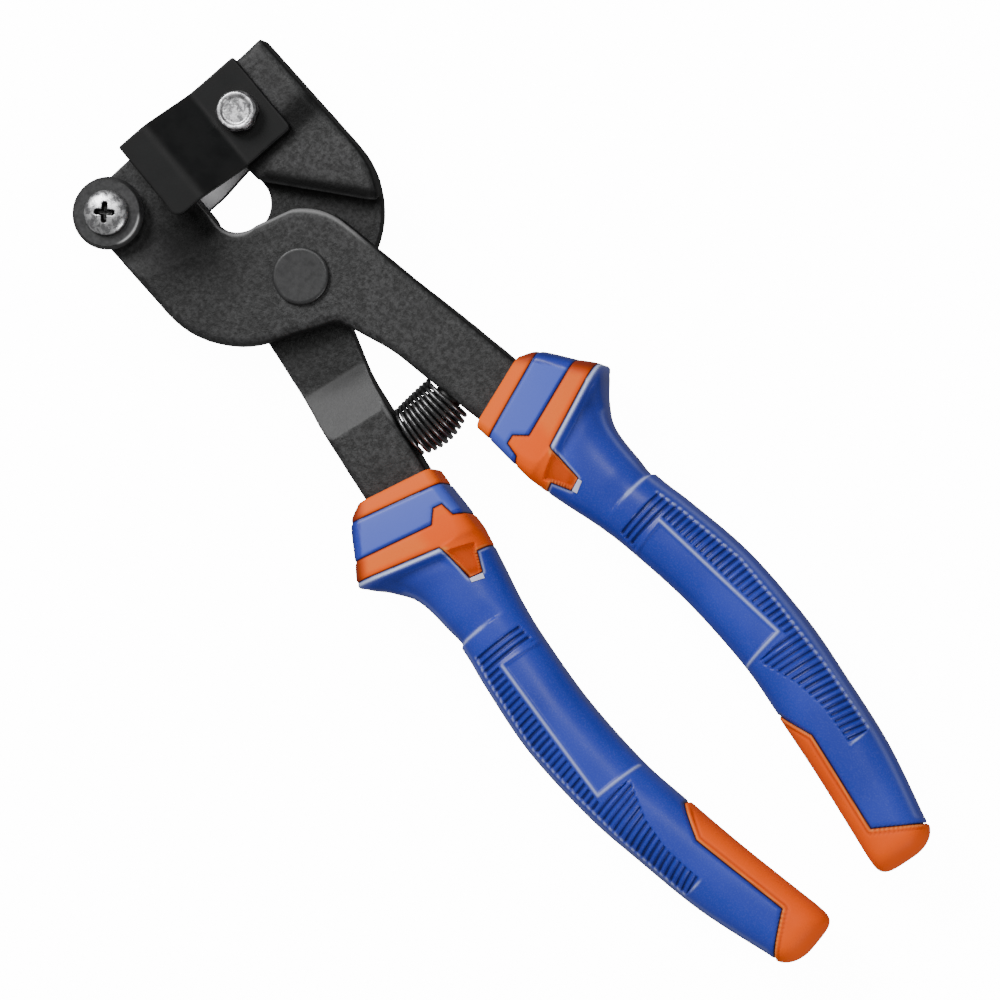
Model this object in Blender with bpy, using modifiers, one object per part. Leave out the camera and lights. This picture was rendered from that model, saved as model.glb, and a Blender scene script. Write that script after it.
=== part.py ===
"""Tile cutting pliers with a breaker foot and a scoring wheel, in metres, +Z up.

The pliers lie flat.  The origin is on the pivot's axis, at the rear face of the
rivet.  +X runs towards the handles, +Y towards the upper handle and +Z towards
the front.  Both halves are one forging with one grip: the rear half is the front
half turned over about X.  Outlines are drawn for the front half, whose jaw is
below the X axis and whose handle is above it, about the middle plane, z = 0.
"""

import math

import bmesh
import bpy
from mathutils import Matrix, Vector

MM = 0.001
GAP = 0.3 * MM
CHAMFER = 0.1 * MM
BEYOND = 90 * MM

# Forged halves
JAW_END_X = -39.3 * MM
JAW_OUTER_Y = 24.0 * MM
JAW_INNER_Y = 5.6 * MM
JAW_FACE_Z = 4.0 * MM
LAP_FACE_Z = 5.0 * MM
LAP_RADIUS = 13.0 * MM
LAP_ARC_END = 147.0
SHOULDER_RADIUS = 19.0 * MM
THROAT_X = -18.9 * MM
THROAT_RADIUS = 5.6 * MM
EDGE_ROUND = 1.3 * MM
TANG_ANGLE = math.radians(9.0)
RAMP_ANGLE = math.radians(11.0)
RAMP_START = 19.3 * MM
RAMP_SLOPE = 0.4
BANK_TOP = (-12.4 * MM, 0.8 * MM)
BANK_TURN = math.radians(-19.2)
BANK_WIDTH = 5.4 * MM
STEP_START = (-18.6 * MM, -7.4 * MM)
STEP_END = (-1.6 * MM, -20.7 * MM)
STEP_LEAN = 0.3
RECESS_DEPTH = 1.5 * MM
TANG_HALF_WIDTH = (4.0 * MM, 3.0 * MM)
TANG_HALF_HEIGHT = (3.0 * MM, 2.3 * MM)

# Pivot rivet
RIVET_SHANK_RADIUS = 4.0 * MM
RIVET_HEAD_RADIUS = 5.4 * MM
RIVET_EDGE = 0.3 * MM
RIVET_HALF_LENGTH = 6.1 * MM
MIDDLE_Z = RIVET_HALF_LENGTH

# Breaker foot, bent sheet wings on both faces of the upper jaw
FOOT_AXIS = (-31.1 * MM, 12.0 * MM)
FOOT_SWING = math.radians(-2.0)
FOOT_HALF_WIDTH = 8.85 * MM
FOOT_SHEET = 1.6 * MM
FOOT_LIP_Z = 11.2 * MM
FOOT_TOP_Y = 5.7 * MM
FOOT_FOLD_Y = (-5.3 * MM, -15.0 * MM)
FOOT_LIP_Y = -21.3 * MM
FOOT_REAR_TRIM = 1.3 * MM
FOOT_BOLT_RADIUS = 2.5 * MM
FOOT_BOLT_FLATS = 7.4 * MM
FOOT_BOLT_HEAD = 3.2 * MM
FOOT_NUT_HEIGHT = 4.0 * MM
FOOT_SLEEVE_RADIUS = 3.6 * MM
FOOT_FOLD_ROUND = 0.5 * MM

# Scoring wheel on the front face of the lower jaw
WHEEL_AXIS = (-33.8 * MM, -19.4 * MM)
WHEEL_RADIUS = 6.95 * MM
WHEEL_FLAT_RADIUS = 6.5 * MM
WHEEL_HALF_WIDTH = 1.2 * MM
WHEEL_SCREW_RADIUS = 2.0 * MM
WHEEL_HEAD = ((0.0, 0.0), (2.4, 0.25), (3.65, 0.8), (4.3, 1.6), (4.3, 2.1))
WHEEL_BUSH_WALL = 0.9 * MM
WHEEL_NUT_FLATS = 7.0 * MM
WHEEL_NUT_HEIGHT = 3.2 * MM
CROSS_SLOT = (4.2 * MM, 0.9 * MM, 2.4 * MM)
CROSS_SLOT_TURN = 12
THREAD_PROUD = 1.0 * MM
SPACER_RADIUS = 4.6 * MM
SPACER_HEIGHT = 0.8 * MM

# Return spring between the tangs
SPRING_TURNS = 9.5
SPRING_WIRE = 0.8 * MM
SPRING_COIL_RADIUS = 4.6 * MM
SPRING_BARREL = 0.8 * MM
SPRING_ARC_RADIUS = 35.4 * MM
SPRING_BULGE = 0.4 * MM
SPRING_HALF_ANGLE = math.radians(7.75)
SPRING_TILT = 0.5 * MM
SPRING_POINTS = 14
PEG_RADIUS = 2.7 * MM
PEG_REACH = 2.2 * MM
PEG_DEPTH = 4.0 * MM
PEG_ANGLE = math.radians(9.5)
PEG_FOOT = (35.2 * MM, 5.58 * MM, 0.5 * MM)

# Grip stations along the handle: inner edge x, y, outer edge x, y, half thickness,
# and how square the section is (2 is an ellipse), in millimetres.
GRIP_STATIONS = (
    (44.1, 5.7, 39.6, 21.2, 6.9, 4.0),
    (47.0, 6.0, 41.4, 24.3, 7.7, 4.0),
    (53.6, 6.4, 47.0, 28.3, 8.6, 3.8),
    (57.5, 6.6, 50.5, 30.9, 8.9, 3.4),
    (59.2, 6.8, 52.5, 30.3, 8.7, 2.9),
    (62.0, 7.3, 56.3, 27.2, 8.1, 2.6),
    (66.0, 8.3, 61.5, 24.6, 7.5, 2.5),
    (73.5, 10.3, 71.6, 24.3, 7.2, 2.5),
    (81.3, 11.7, 80.6, 26.0, 7.4, 2.5),
    (95.3, 13.2, 95.5, 28.0, 7.8, 2.5),
    (110.6, 13.2, 112.0, 27.7, 7.8, 2.5),
    (121.5, 11.9, 124.5, 26.1, 7.6, 2.5),
    (135.5, 9.9, 139.5, 23.6, 7.3, 2.5),
    (152.5, 6.9, 154.3, 19.4, 6.8, 2.5),
)
GRIP_DOME = 4.9 * MM
DOME_STEPS = 6
TANG_INSET = 7.9 * MM
TANG_END_STATION = 10.7
CORE_END_STATION = 12.8
CORE_WALL = 1.4 * MM
SEAM_REACH = 180.0

# Seams between the grip's mouldings, as x, y in millimetres from the inner edge
# of the handle to its outer edge.
BAND_SEAM = ((49.2, 0), (36.1, 40))
CROSS_SEAM = (
    (55.0, 0), (54.2, 6.8), (53.4, 8.1), (50.5, 8.4), (50.0, 10.2), (52.2, 12.5), (43.8, 40),
)
BODY_SEAM = (
    (61.9, 0), (61.8, 7.4), (61.4, 9.5), (65.0, 11.3), (64.2, 13.9), (57.1, 14.0),
    (56.4, 14.2), (47.2, 40),
)
CAP_SEAM = (
    (121.5, 0), (122.5, 12.2), (129.6, 14.7), (149.8, 11.2), (155.4, 18.9), (164, 31), (170, 40),
)
WINDOW = ((65.2, 11.4), (66.2, 11.8), (65.2, 14.1), (64.4, 13.9))
WINDOW_FOOT_Z = 4 * MM
WINDOW_TOP_Z = 15 * MM


def clear_scene():
    for obj in list(bpy.data.objects):
        bpy.data.objects.remove(obj, do_unlink=True)


def new_collection(name, shown):
    collection = bpy.data.collections.new(name)
    bpy.context.scene.collection.children.link(collection)
    collection.hide_render = not shown
    return collection


def material(name, colour, roughness, metallic=0.0):
    """A Principled material of one colour."""
    made = bpy.data.materials.new(name)
    made.use_nodes = True
    shader = made.node_tree.nodes["Principled BSDF"]
    shader.inputs["Base Color"].default_value = (*colour, 1.0)
    shader.inputs["Roughness"].default_value = roughness
    shader.inputs["Metallic"].default_value = metallic
    made.diffuse_color = (*colour, 1.0)
    return made


def empty(name, location, rotation=(0, 0, 0), parent=None):
    """A frame that pieces hang on, on the axis that they turn about."""
    obj = bpy.data.objects.new(name, None)
    parts.objects.link(obj)
    obj.empty_display_size = 0.01
    obj.location = location
    obj.rotation_euler = rotation
    obj.parent = parent
    return obj


def add_object(name, mesh, collection, parent=None, finish=None):
    obj = bpy.data.objects.new(name, mesh)
    collection.objects.link(obj)
    obj.parent = parent
    if finish:
        mesh.materials.append(finish)
    return obj


def add_cutter(name, mesh, parent):
    obj = add_object(name, mesh, cutters, parent)
    obj.hide_render = True
    obj.display_type = "WIRE"
    return obj


def boolean(target, other, operation="DIFFERENCE"):
    modifier = target.modifiers.new(operation.title() + " " + other.name, "BOOLEAN")
    modifier.operation = operation
    modifier.object = other


def shade_round(obj, angle=35):
    obj.data.shade_smooth()
    obj.data.set_sharp_from_angle(angle=math.radians(angle))


def mesh_from(bm, name):
    bmesh.ops.recalc_face_normals(bm, faces=bm.faces)
    mesh = bpy.data.meshes.new(name)
    bm.to_mesh(mesh)
    bm.free()
    return mesh


def slab(name, outline, low, high, edge=0.0):
    """The mesh of a flat outline between two heights, its edges rounded by edge."""
    curve = bpy.data.curves.new(name, "CURVE")
    curve.dimensions = "2D"
    curve.fill_mode = "BOTH"
    curve.extrude = (high - low) / 2 - edge
    curve.bevel_depth = edge
    curve.bevel_resolution = 1
    curve.offset = -edge
    spline = curve.splines.new("POLY")
    spline.points.add(len(outline) - 1)
    for point, (x, y) in zip(spline.points, outline):
        point.co = (x, y, 0, 1)
    spline.use_cyclic_u = True
    drawn = bpy.data.objects.new(name, curve)
    bpy.context.scene.collection.objects.link(drawn)
    graph = bpy.context.evaluated_depsgraph_get()
    bm = bmesh.new()
    bm.from_mesh(bpy.data.meshes.new_from_object(drawn.evaluated_get(graph)))
    bpy.data.objects.remove(drawn, do_unlink=True)
    bmesh.ops.remove_doubles(bm, verts=bm.verts, dist=0.00001)
    bmesh.ops.translate(bm, verts=bm.verts, vec=(0, 0, (low + high) / 2))
    return mesh_from(bm, name)


def rod(name, radius, low, high, segments=32):
    """The mesh of a cylinder about Z between two heights."""
    bm = bmesh.new()
    bmesh.ops.create_cone(
        bm, cap_ends=True, segments=segments, radius1=radius, radius2=radius, depth=high - low
    )
    bmesh.ops.translate(bm, verts=bm.verts, vec=(0, 0, (low + high) / 2))
    return mesh_from(bm, name)


def turned(name, profile, collection, parent, finish, segments=32):
    """A piece turned about Z from a profile of (radius, height), top to bottom."""
    mesh = bpy.data.meshes.new(name)
    edges = [(i, i + 1) for i in range(len(profile) - 1)]
    mesh.from_pydata([(r, 0, z) for r, z in profile], edges, [])
    obj = add_object(name, mesh, collection, parent, finish)
    screw = obj.modifiers.new("Turn", "SCREW")
    screw.steps = segments
    screw.render_steps = segments
    screw.use_merge_vertices = True
    screw.merge_threshold = 0.00001
    screw.use_smooth_shade = True
    return obj


def tube_profile(inner, outer, low, high, chamfer):
    """The closed profile of a ring, down its outer side and up its bore."""
    return (
        (inner, high), (outer - chamfer, high), (outer, high - chamfer),
        (outer, low + chamfer), (outer - chamfer, low), (inner, low), (inner, high),
    )


def hexagon(across_flats):
    corner = across_flats / math.sqrt(3)
    return [
        (corner * math.cos(math.radians(60 * i)), corner * math.sin(math.radians(60 * i)))
        for i in range(6)
    ]


def loft(name, rings):
    """A closed solid through rings of as many points each, capped at both ends."""
    bm = bmesh.new()
    rows = [[bm.verts.new(p) for p in ring] for ring in rings]
    for row, following in zip(rows, rows[1:]):
        for i in range(len(row)):
            j = (i + 1) % len(row)
            bm.faces.new((row[i], row[j], following[j], following[i]))
    bm.faces.new(rows[0])
    bm.faces.new(rows[-1])
    return mesh_from(bm, name)


def arc(centre, radius, start, end, step=9.0):
    """Points along an arc, from one angle to the other, in degrees."""
    count = max(2, math.ceil(abs(end - start) / step))
    angles = [math.radians(start + (end - start) * i / count) for i in range(count + 1)]
    return [(centre[0] + radius * math.cos(a), centre[1] + radius * math.sin(a)) for a in angles]


def rounded(before, corner, after, radius, step=9.0):
    """The arc of a radius that takes the place of a corner."""
    corner = Vector(corner)
    back = (Vector(before) - corner).normalized()
    ahead = (Vector(after) - corner).normalized()
    half = back.angle(ahead) / 2
    centre = corner + (back + ahead).normalized() * radius / math.sin(half)
    start = corner + back * radius / math.tan(half) - centre
    turn = math.pi - 2 * half
    if back.x * ahead.y - back.y * ahead.x > 0:
        turn = -turn
    count = max(2, math.ceil(math.degrees(abs(turn)) / step))
    return [
        tuple(centre + Matrix.Rotation(turn * i / count, 2) @ start) for i in range(count + 1)
    ]


def arm_outline():
    """The front half's outline, from the jaw's outer corner round the handle."""
    tip_outer = (JAW_END_X, -JAW_OUTER_Y)
    shoulder = (-0.4 * MM, -JAW_OUTER_Y)
    crotch = (10.9 * MM, -0.6 * MM)
    tang_bend = (22.2 * MM, 3.4 * MM)
    tang_inner = (45.3 * MM, 7.25 * MM)
    tang_outer = (41.7 * MM, 19.75 * MM)
    tip_inner = (JAW_END_X, -JAW_INNER_Y)
    lap_start = 90 + math.degrees(TANG_ANGLE)
    return [
        tip_outer,
        *rounded(tip_outer, shoulder, crotch, SHOULDER_RADIUS, 6.0),
        *rounded(shoulder, crotch, tang_bend, 1.5 * MM, 20.0),
        *rounded(crotch, tang_bend, tang_inner, 30 * MM, 3.0),
        tang_inner,
        tang_outer,
        *arc((0, 0), LAP_RADIUS, lap_start, LAP_ARC_END, 6.0),
        *arc((THROAT_X, 0), THROAT_RADIUS, -2, -90),
        tip_inner,
    ]


def grip_section(station):
    """Inner edge, outer edge, half thickness and squareness at a station, smoothly."""
    last = len(GRIP_STATIONS) - 1
    i = min(int(station), last - 1)
    u = station - i
    rows = [GRIP_STATIONS[min(max(i + k, 0), last)] for k in (-1, 0, 1, 2)]
    values = [
        0.5 * (2 * b + (c - a) * u + (2 * a - 5 * b + 4 * c - d) * u**2 + (3 * b - a - 3 * c + d) * u**3)
        for a, b, c, d in zip(*rows)
    ]
    inner = Vector(values[0:2]) * MM
    outer = Vector(values[2:4]) * MM
    return inner, outer, values[4] * MM, values[5]


def grip_ring(station, inner_scale=1.0, outer_scale=1.0, high_scale=1.0, shift=0.0, count=28):
    """The points of one section of the grip, scaled and moved along the handle."""
    inner, outer, half_thickness, squareness = grip_section(station)
    middle = (inner + outer) / 2
    across = (outer - inner) / 2
    along = Vector((across.y, -across.x)).normalized()
    ring = []
    for i in range(count):
        angle = math.tau * i / count
        c, s = math.cos(angle), math.sin(angle)
        p = math.copysign(abs(c) ** (2 / squareness), c) * (outer_scale if c > 0 else inner_scale)
        q = math.copysign(abs(s) ** (2 / squareness), s) * high_scale
        flat = middle + across * p + along * shift
        ring.append((flat.x, flat.y, half_thickness * q))
    return ring


def grip_envelope():
    """The whole outer form of a grip, with a domed end."""
    last = len(GRIP_STATIONS) - 1
    rings = [grip_ring(i / 3) for i in range(last * 3 + 1)]
    for i in range(1, DOME_STEPS + 1):
        u = math.sin(math.radians(90 * i / DOME_STEPS)) if i < DOME_STEPS else 0.995
        scales = [(1 - u**power) ** (1 / power) for power in (5.0, 2.3, 2.6)]
        rings.append(grip_ring(last, *scales, shift=GRIP_DOME * u))
    return loft("grip_envelope", rings)


def core_rings(start, end, spread):
    """Rectangular rings about the tang's middle line inside the grip."""
    rings = []
    steps = 12
    for i in range(steps + 1):
        station = start + (end - start) * i / steps
        inner, outer, _, _ = grip_section(station)
        across = (outer - inner).normalized()
        taper = station / CORE_END_STATION
        half_width = TANG_HALF_WIDTH[0] * (1 - taper) + TANG_HALF_WIDTH[1] * taper + spread
        half_height = TANG_HALF_HEIGHT[0] * (1 - taper) + TANG_HALF_HEIGHT[1] * taper + spread
        middle = inner + across * min(TANG_INSET, (outer - inner).length / 2)
        low, high = middle - across * half_width, middle + across * half_width
        rings.append(
            [
                (low.x, low.y, -half_height), (high.x, high.y, -half_height),
                (high.x, high.y, half_height), (low.x, low.y, half_height),
            ]
        )
    return rings


def in_metres(points):
    return [(x * MM, y * MM) for x, y in points]


def inset(outline, distance):
    """A closed outline moved inwards by a distance, with mitred corners."""
    points = [Vector(p) for p in outline]
    moved = []
    for i, point in enumerate(points):
        back = (point - points[i - 1]).normalized()
        ahead = (points[(i + 1) % len(points)] - point).normalized()
        normal_back = Vector((-back.y, back.x))
        normal_ahead = Vector((-ahead.y, ahead.x))
        mitre = (normal_back + normal_ahead).normalized()
        moved.append(tuple(point + mitre * distance / mitre.dot(normal_ahead)))
    return moved


def region(name, points, parent):
    """A cutter that keeps the part of the grip over a closed outline."""
    outline = inset(in_metres(points), GAP / 2)
    return add_cutter(name, slab(name, outline, -BEYOND, BEYOND), parent)


def recess_mesh(name):
    """What is taken out of a half's rear to clear the other half's lap."""
    low = -JAW_FACE_Z - RECESS_DEPTH
    foot = RAMP_START - low / RAMP_SLOPE
    profile = [(-BEYOND, -BEYOND), (foot, -BEYOND), (foot, low + GAP / 2)]
    profile += [(RAMP_START, GAP / 2), (-BEYOND, GAP / 2)]
    bm = bmesh.new()
    bm.from_mesh(slab(name, profile, -BEYOND, BEYOND))
    turn = Matrix.Rotation(RAMP_ANGLE, 4, "Z") @ Matrix.Rotation(math.radians(90), 4, "X")
    bmesh.ops.transform(bm, matrix=turn, verts=bm.verts)
    # The step beside the jaw, a steep bank that runs from the throat to the shoulder.
    start, end = Vector((*STEP_START, 0)), Vector((*STEP_END, 0))
    outward = (end - start).cross(Vector((0, 0, 1))).normalized()
    outward = (outward - Vector((0, 0, STEP_LEAN))).normalized()
    if outward.dot(start) < 0:
        outward = outward * -1
    geometry = bm.verts[:] + bm.edges[:] + bm.faces[:]
    cut = bmesh.ops.bisect_plane(
        bm, geom=geometry, dist=1e-7, plane_co=start, plane_no=outward, clear_outer=True
    )
    edges = [e for e in cut["geom_cut"] if isinstance(e, bmesh.types.BMEdge)]
    bmesh.ops.holes_fill(bm, edges=edges)
    return mesh_from(bm, name)


def jaw_face_mesh(name):
    """What is taken off the front of a jaw, with a bank up to the lap."""
    past_top = BANK_WIDTH * GAP / (LAP_FACE_Z - JAW_FACE_Z)
    profile = [(-BEYOND, JAW_FACE_Z), (-BANK_WIDTH, JAW_FACE_Z), (past_top, LAP_FACE_Z + GAP)]
    profile += [(past_top, BEYOND), (-BEYOND, BEYOND)]
    bm = bmesh.new()
    bm.from_mesh(slab(name, profile, -BEYOND, BEYOND))
    place = Matrix.Translation((*BANK_TOP, 0)) @ Matrix.Rotation(BANK_TURN, 4, "Z")
    turn = place @ Matrix.Rotation(math.radians(90), 4, "X")
    bmesh.ops.transform(bm, matrix=turn, verts=bm.verts)
    return mesh_from(bm, name)


def peg_frame(parent, name):
    """A frame on the tang's inner edge whose -Z points into the spring."""
    return empty(name, PEG_FOOT, (math.radians(-90), 0, PEG_ANGLE), parent)


def build_arm(name, half, axis_hole, hole_radius):
    """A forged half, with its rivet hole, its jaw's hole and its peg's socket."""
    form = slab(name, arm_outline(), -JAW_FACE_Z, LAP_FACE_Z, EDGE_ROUND)
    arm = add_object(name, form, parts, half, steel)
    inner_tang = loft("inner_tang", core_rings(0.0, TANG_END_STATION, 0.0))
    tang = add_cutter(name + "_inner_tang", inner_tang, half)
    boolean(arm, add_cutter(name + "_recess", recess_mesh("recess"), half))
    boolean(arm, add_cutter(name + "_jaw_face", jaw_face_mesh("jaw_face"), half))
    boolean(arm, tang, "UNION")
    rivet_hole = rod("hole", RIVET_SHANK_RADIUS + GAP, -BEYOND, BEYOND)
    boolean(arm, add_cutter(name + "_rivet_hole", rivet_hole, half))
    jaw_hole = rod("hole", hole_radius + GAP, -BEYOND, BEYOND, 24)
    jaw_cutter = add_cutter(name + "_jaw_hole", jaw_hole, half)
    jaw_cutter.location = (*axis_hole, 0)
    boolean(arm, jaw_cutter)
    socket = rod("socket", PEG_RADIUS + GAP, -PEG_DEPTH, PEG_DEPTH, 24)
    boolean(arm, add_cutter(name + "_peg_socket", socket, peg_frame(half, name + "_peg_frame")))
    return arm


def build_grip(prefix, half, front):
    """A grip's mouldings: an orange core, the blue collar and body, and a window.

    The window is on the tool's front, which is the half's own front if front is 1.
    """
    envelope = grip_envelope()
    window_low, window_high = sorted((WINDOW_FOOT_Z * front, WINDOW_TOP_Z * front))
    pocket_low, pocket_high = sorted(((WINDOW_FOOT_Z - GAP) * front, WINDOW_TOP_Z * front))
    band = [(30, 0), *BAND_SEAM, (30, 40)]
    collar = [BAND_SEAM[0], *CROSS_SEAM, BAND_SEAM[1]]
    cross = [CROSS_SEAM[0], *BODY_SEAM, *reversed(CROSS_SEAM[1:])]
    body = [BODY_SEAM[0], *CAP_SEAM, *reversed(BODY_SEAM[1:])]
    cap = [CAP_SEAM[0], (SEAM_REACH, 0), (SEAM_REACH, 40), *reversed(CAP_SEAM[1:])]

    def cutter(label, mesh):
        return add_cutter(prefix + label, mesh, half)

    bore = cutter("_tang_bore", loft("bore", core_rings(0.2, TANG_END_STATION + 0.05, GAP)))
    mouth = slab("mouth", inset(arm_outline(), -GAP), -JAW_FACE_Z - GAP, LAP_FACE_Z + GAP)
    tang_mouth = cutter("_tang_mouth", mouth)
    core_mesh = loft("core", core_rings(0.3, CORE_END_STATION, GAP + CORE_WALL))
    core_room = core_rings(0.3, CORE_END_STATION + 0.05, 2 * GAP + CORE_WALL)
    core_bore = cutter("_core_bore", loft("core_bore", core_room))
    window = cutter("_window_region", slab("window", in_metres(WINDOW), window_low, window_high))
    pocket = slab("pocket", inset(in_metres(WINDOW), -GAP), pocket_low, pocket_high)
    window_pocket = cutter("_window_pocket", pocket)

    core = add_object(prefix + "_core", core_mesh, parts, half, orange)
    for label, outline in (("_band", band), ("_cross", cross), ("_cap", cap)):
        shown = cutter(label + "_form", envelope.copy())
        boolean(shown, region(prefix + label + "_region", outline, half), "INTERSECT")
        boolean(core, shown, "UNION")
    for cut in (bore, tang_mouth, window_pocket):
        boolean(core, cut)

    for label, outline in (("_collar", collar), ("_body", body)):
        piece = add_object(prefix + label, envelope.copy(), parts, half, blue)
        boolean(piece, region(prefix + label + "_region", outline, half), "INTERSECT")
        boolean(piece, core_bore)
        if label == "_body":
            boolean(piece, window_pocket)
        shade_round(piece)
    pane = add_object(prefix + "_window", envelope.copy(), parts, half, pale_blue)
    boolean(pane, window, "INTERSECT")


def build_wing(name, swivel, side):
    """One bent sheet wing, on the front face for side 1 and the rear for -1."""
    low = JAW_FACE_Z + GAP + FOOT_SHEET / 2
    line = [(FOOT_TOP_Y, low), (FOOT_FOLD_Y[0], low)]
    line += [(FOOT_FOLD_Y[1], FOOT_LIP_Z), (FOOT_LIP_Y, FOOT_LIP_Z)]
    throat_side = FOOT_HALF_WIDTH if side > 0 else FOOT_HALF_WIDTH - FOOT_REAR_TRIM
    bm = bmesh.new()
    rows = [
        [bm.verts.new((x, y, side * z)) for y, z in line] for x in (-FOOT_HALF_WIDTH, throat_side)
    ]
    for i in range(len(line) - 1):
        bm.faces.new((rows[0][i], rows[0][i + 1], rows[1][i + 1], rows[1][i]))
    mesh = mesh_from(bm, name)
    wing = add_object(name, mesh, parts, swivel, black)
    shell = wing.modifiers.new("Sheet", "SOLIDIFY")
    shell.thickness = FOOT_SHEET
    shell.offset = 0
    shell.use_even_offset = True
    fold = wing.modifiers.new("Folds", "BEVEL")
    fold.width = FOOT_FOLD_ROUND
    fold.segments = 2
    fold.limit_method = "ANGLE"
    fold.angle_limit = math.radians(20)
    boolean(wing, hole_for("wing_hole_" + name, swivel, FOOT_BOLT_RADIUS + GAP))
    return wing


def hole_for(name, parent, radius):
    return add_cutter(name, rod("hole", radius, -BEYOND, BEYOND, 24), parent)


def build_foot(swivel):
    """The breaker foot: two wings clamped on a sleeve by a hexagon bolt."""
    build_wing("foot_wing_front", swivel, 1)
    build_wing("foot_wing_rear", swivel, -1)
    seat = JAW_FACE_Z + 2 * GAP + FOOT_SHEET
    head = slab("foot_bolt", hexagon(FOOT_BOLT_FLATS), seat, seat + FOOT_BOLT_HEAD)
    bolt = add_object("foot_bolt", head, parts, swivel, zinc)
    nut_low = -seat - FOOT_NUT_HEIGHT
    shank = rod("shank", FOOT_BOLT_RADIUS, nut_low - THREAD_PROUD, seat + FOOT_BOLT_HEAD / 2, 24)
    boolean(bolt, add_cutter("foot_bolt_shank", shank, swivel), "UNION")
    nut_form = slab("foot_nut", hexagon(FOOT_BOLT_FLATS), nut_low, -seat)
    nut = add_object("foot_nut", nut_form, parts, swivel, zinc)
    boolean(nut, hole_for("foot_nut_bore", swivel, FOOT_BOLT_RADIUS + GAP))
    bore = FOOT_BOLT_RADIUS + GAP
    sleeve = tube_profile(bore, FOOT_SLEEVE_RADIUS, -JAW_FACE_Z, JAW_FACE_Z, CHAMFER)
    turned("foot_sleeve", sleeve, parts, swivel, zinc)


def build_wheel(half):
    """The scoring wheel on its bush, with the spacer, screw and nut that hold it."""
    axle = empty("wheel_axle", (*WHEEL_AXIS, 0), parent=half)
    spacer_low = JAW_FACE_Z + GAP
    spacer_high = spacer_low + SPACER_HEIGHT
    wheel_low = spacer_high + GAP
    wheel_high = wheel_low + 2 * WHEEL_HALF_WIDTH
    head_low = wheel_high + GAP
    bush_inner = WHEEL_SCREW_RADIUS + GAP
    bush_outer = bush_inner + WHEEL_BUSH_WALL
    bore = bush_outer + GAP
    middle = (wheel_low + wheel_high) / 2
    wheel = (
        (bore, wheel_high), (WHEEL_FLAT_RADIUS, wheel_high), (WHEEL_RADIUS, middle),
        (WHEEL_FLAT_RADIUS, wheel_low), (bore, wheel_low), (bore, wheel_high),
    )
    turned("scoring_wheel", wheel, parts, axle, bright_steel, 48)
    bush = tube_profile(bush_inner, bush_outer, wheel_low, wheel_high, CHAMFER)
    turned("wheel_bush", bush, parts, axle, brass)
    spacer = tube_profile(bush_inner, SPACER_RADIUS, spacer_low, spacer_high, CHAMFER)
    turned("wheel_spacer", spacer, parts, axle, zinc)
    head_high = head_low + WHEEL_HEAD[-1][1] * MM
    nut_high = -JAW_FACE_Z - GAP
    nut_low = nut_high - WHEEL_NUT_HEIGHT
    screw_end = nut_low - THREAD_PROUD
    screw = [(r * MM, head_high - drop * MM) for r, drop in WHEEL_HEAD]
    screw += [(WHEEL_SCREW_RADIUS, head_low), (WHEEL_SCREW_RADIUS, screw_end), (0, screw_end)]
    wheel_screw = turned("wheel_screw", screw, parts, axle, zinc)
    for turn in (0, 90):
        slot = bmesh.new()
        bmesh.ops.create_cube(slot, size=1.0)
        bmesh.ops.scale(slot, vec=CROSS_SLOT, verts=slot.verts)
        cutter = add_cutter("cross_slot_" + str(turn), mesh_from(slot, "slot"), axle)
        cutter.location = (0, 0, head_high)
        cutter.rotation_euler = (0, 0, math.radians(turn + CROSS_SLOT_TURN))
        boolean(wheel_screw, cutter)
    nut_form = slab("wheel_nut", hexagon(WHEEL_NUT_FLATS), nut_low, nut_high)
    nut = add_object("wheel_nut", nut_form, parts, axle, zinc)
    boolean(nut, hole_for("wheel_nut_bore", axle, WHEEL_SCREW_RADIUS + GAP))


def build_rivet(parent):
    """The pivot rivet, a shank with a flat head on each face."""
    under = LAP_FACE_Z + GAP
    top = RIVET_HALF_LENGTH
    side = [
        (0, top), (RIVET_HEAD_RADIUS - RIVET_EDGE, top), (RIVET_HEAD_RADIUS, top - RIVET_EDGE),
        (RIVET_HEAD_RADIUS, under), (RIVET_SHANK_RADIUS, under),
    ]
    turned("pivot_rivet", side + [(r, -z) for r, z in reversed(side)], parts, parent, rivet_steel, 48)


def build_spring(parent):
    """The compression spring, bent along an arc about the pivot."""
    curve = bpy.data.curves.new("return_spring", "CURVE")
    curve.dimensions = "3D"
    curve.bevel_depth = SPRING_WIRE / 2
    curve.bevel_resolution = 2
    curve.use_fill_caps = True
    spline = curve.splines.new("POLY")
    count = int(SPRING_TURNS * SPRING_POINTS)
    spline.points.add(count)
    for i, point in enumerate(spline.points):
        u = 2 * i / count - 1
        around = math.tau * SPRING_TURNS * i / count
        sweep = SPRING_HALF_ANGLE * u
        coil = SPRING_COIL_RADIUS + SPRING_BARREL * (1 - u * u)
        radius = SPRING_ARC_RADIUS + SPRING_BULGE * (1 - u * u) + coil * math.cos(around)
        height = SPRING_TILT * u + coil * math.sin(around)
        point.co = (radius * math.cos(sweep), radius * math.sin(sweep), height, 1)
    curve.materials.append(spring_steel)
    spring = bpy.data.objects.new("return_spring", curve)
    parts.objects.link(spring)
    spring.parent = parent


clear_scene()
parts = new_collection("tile_cutting_pliers", True)
cutters = new_collection("cutters", False)

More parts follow.
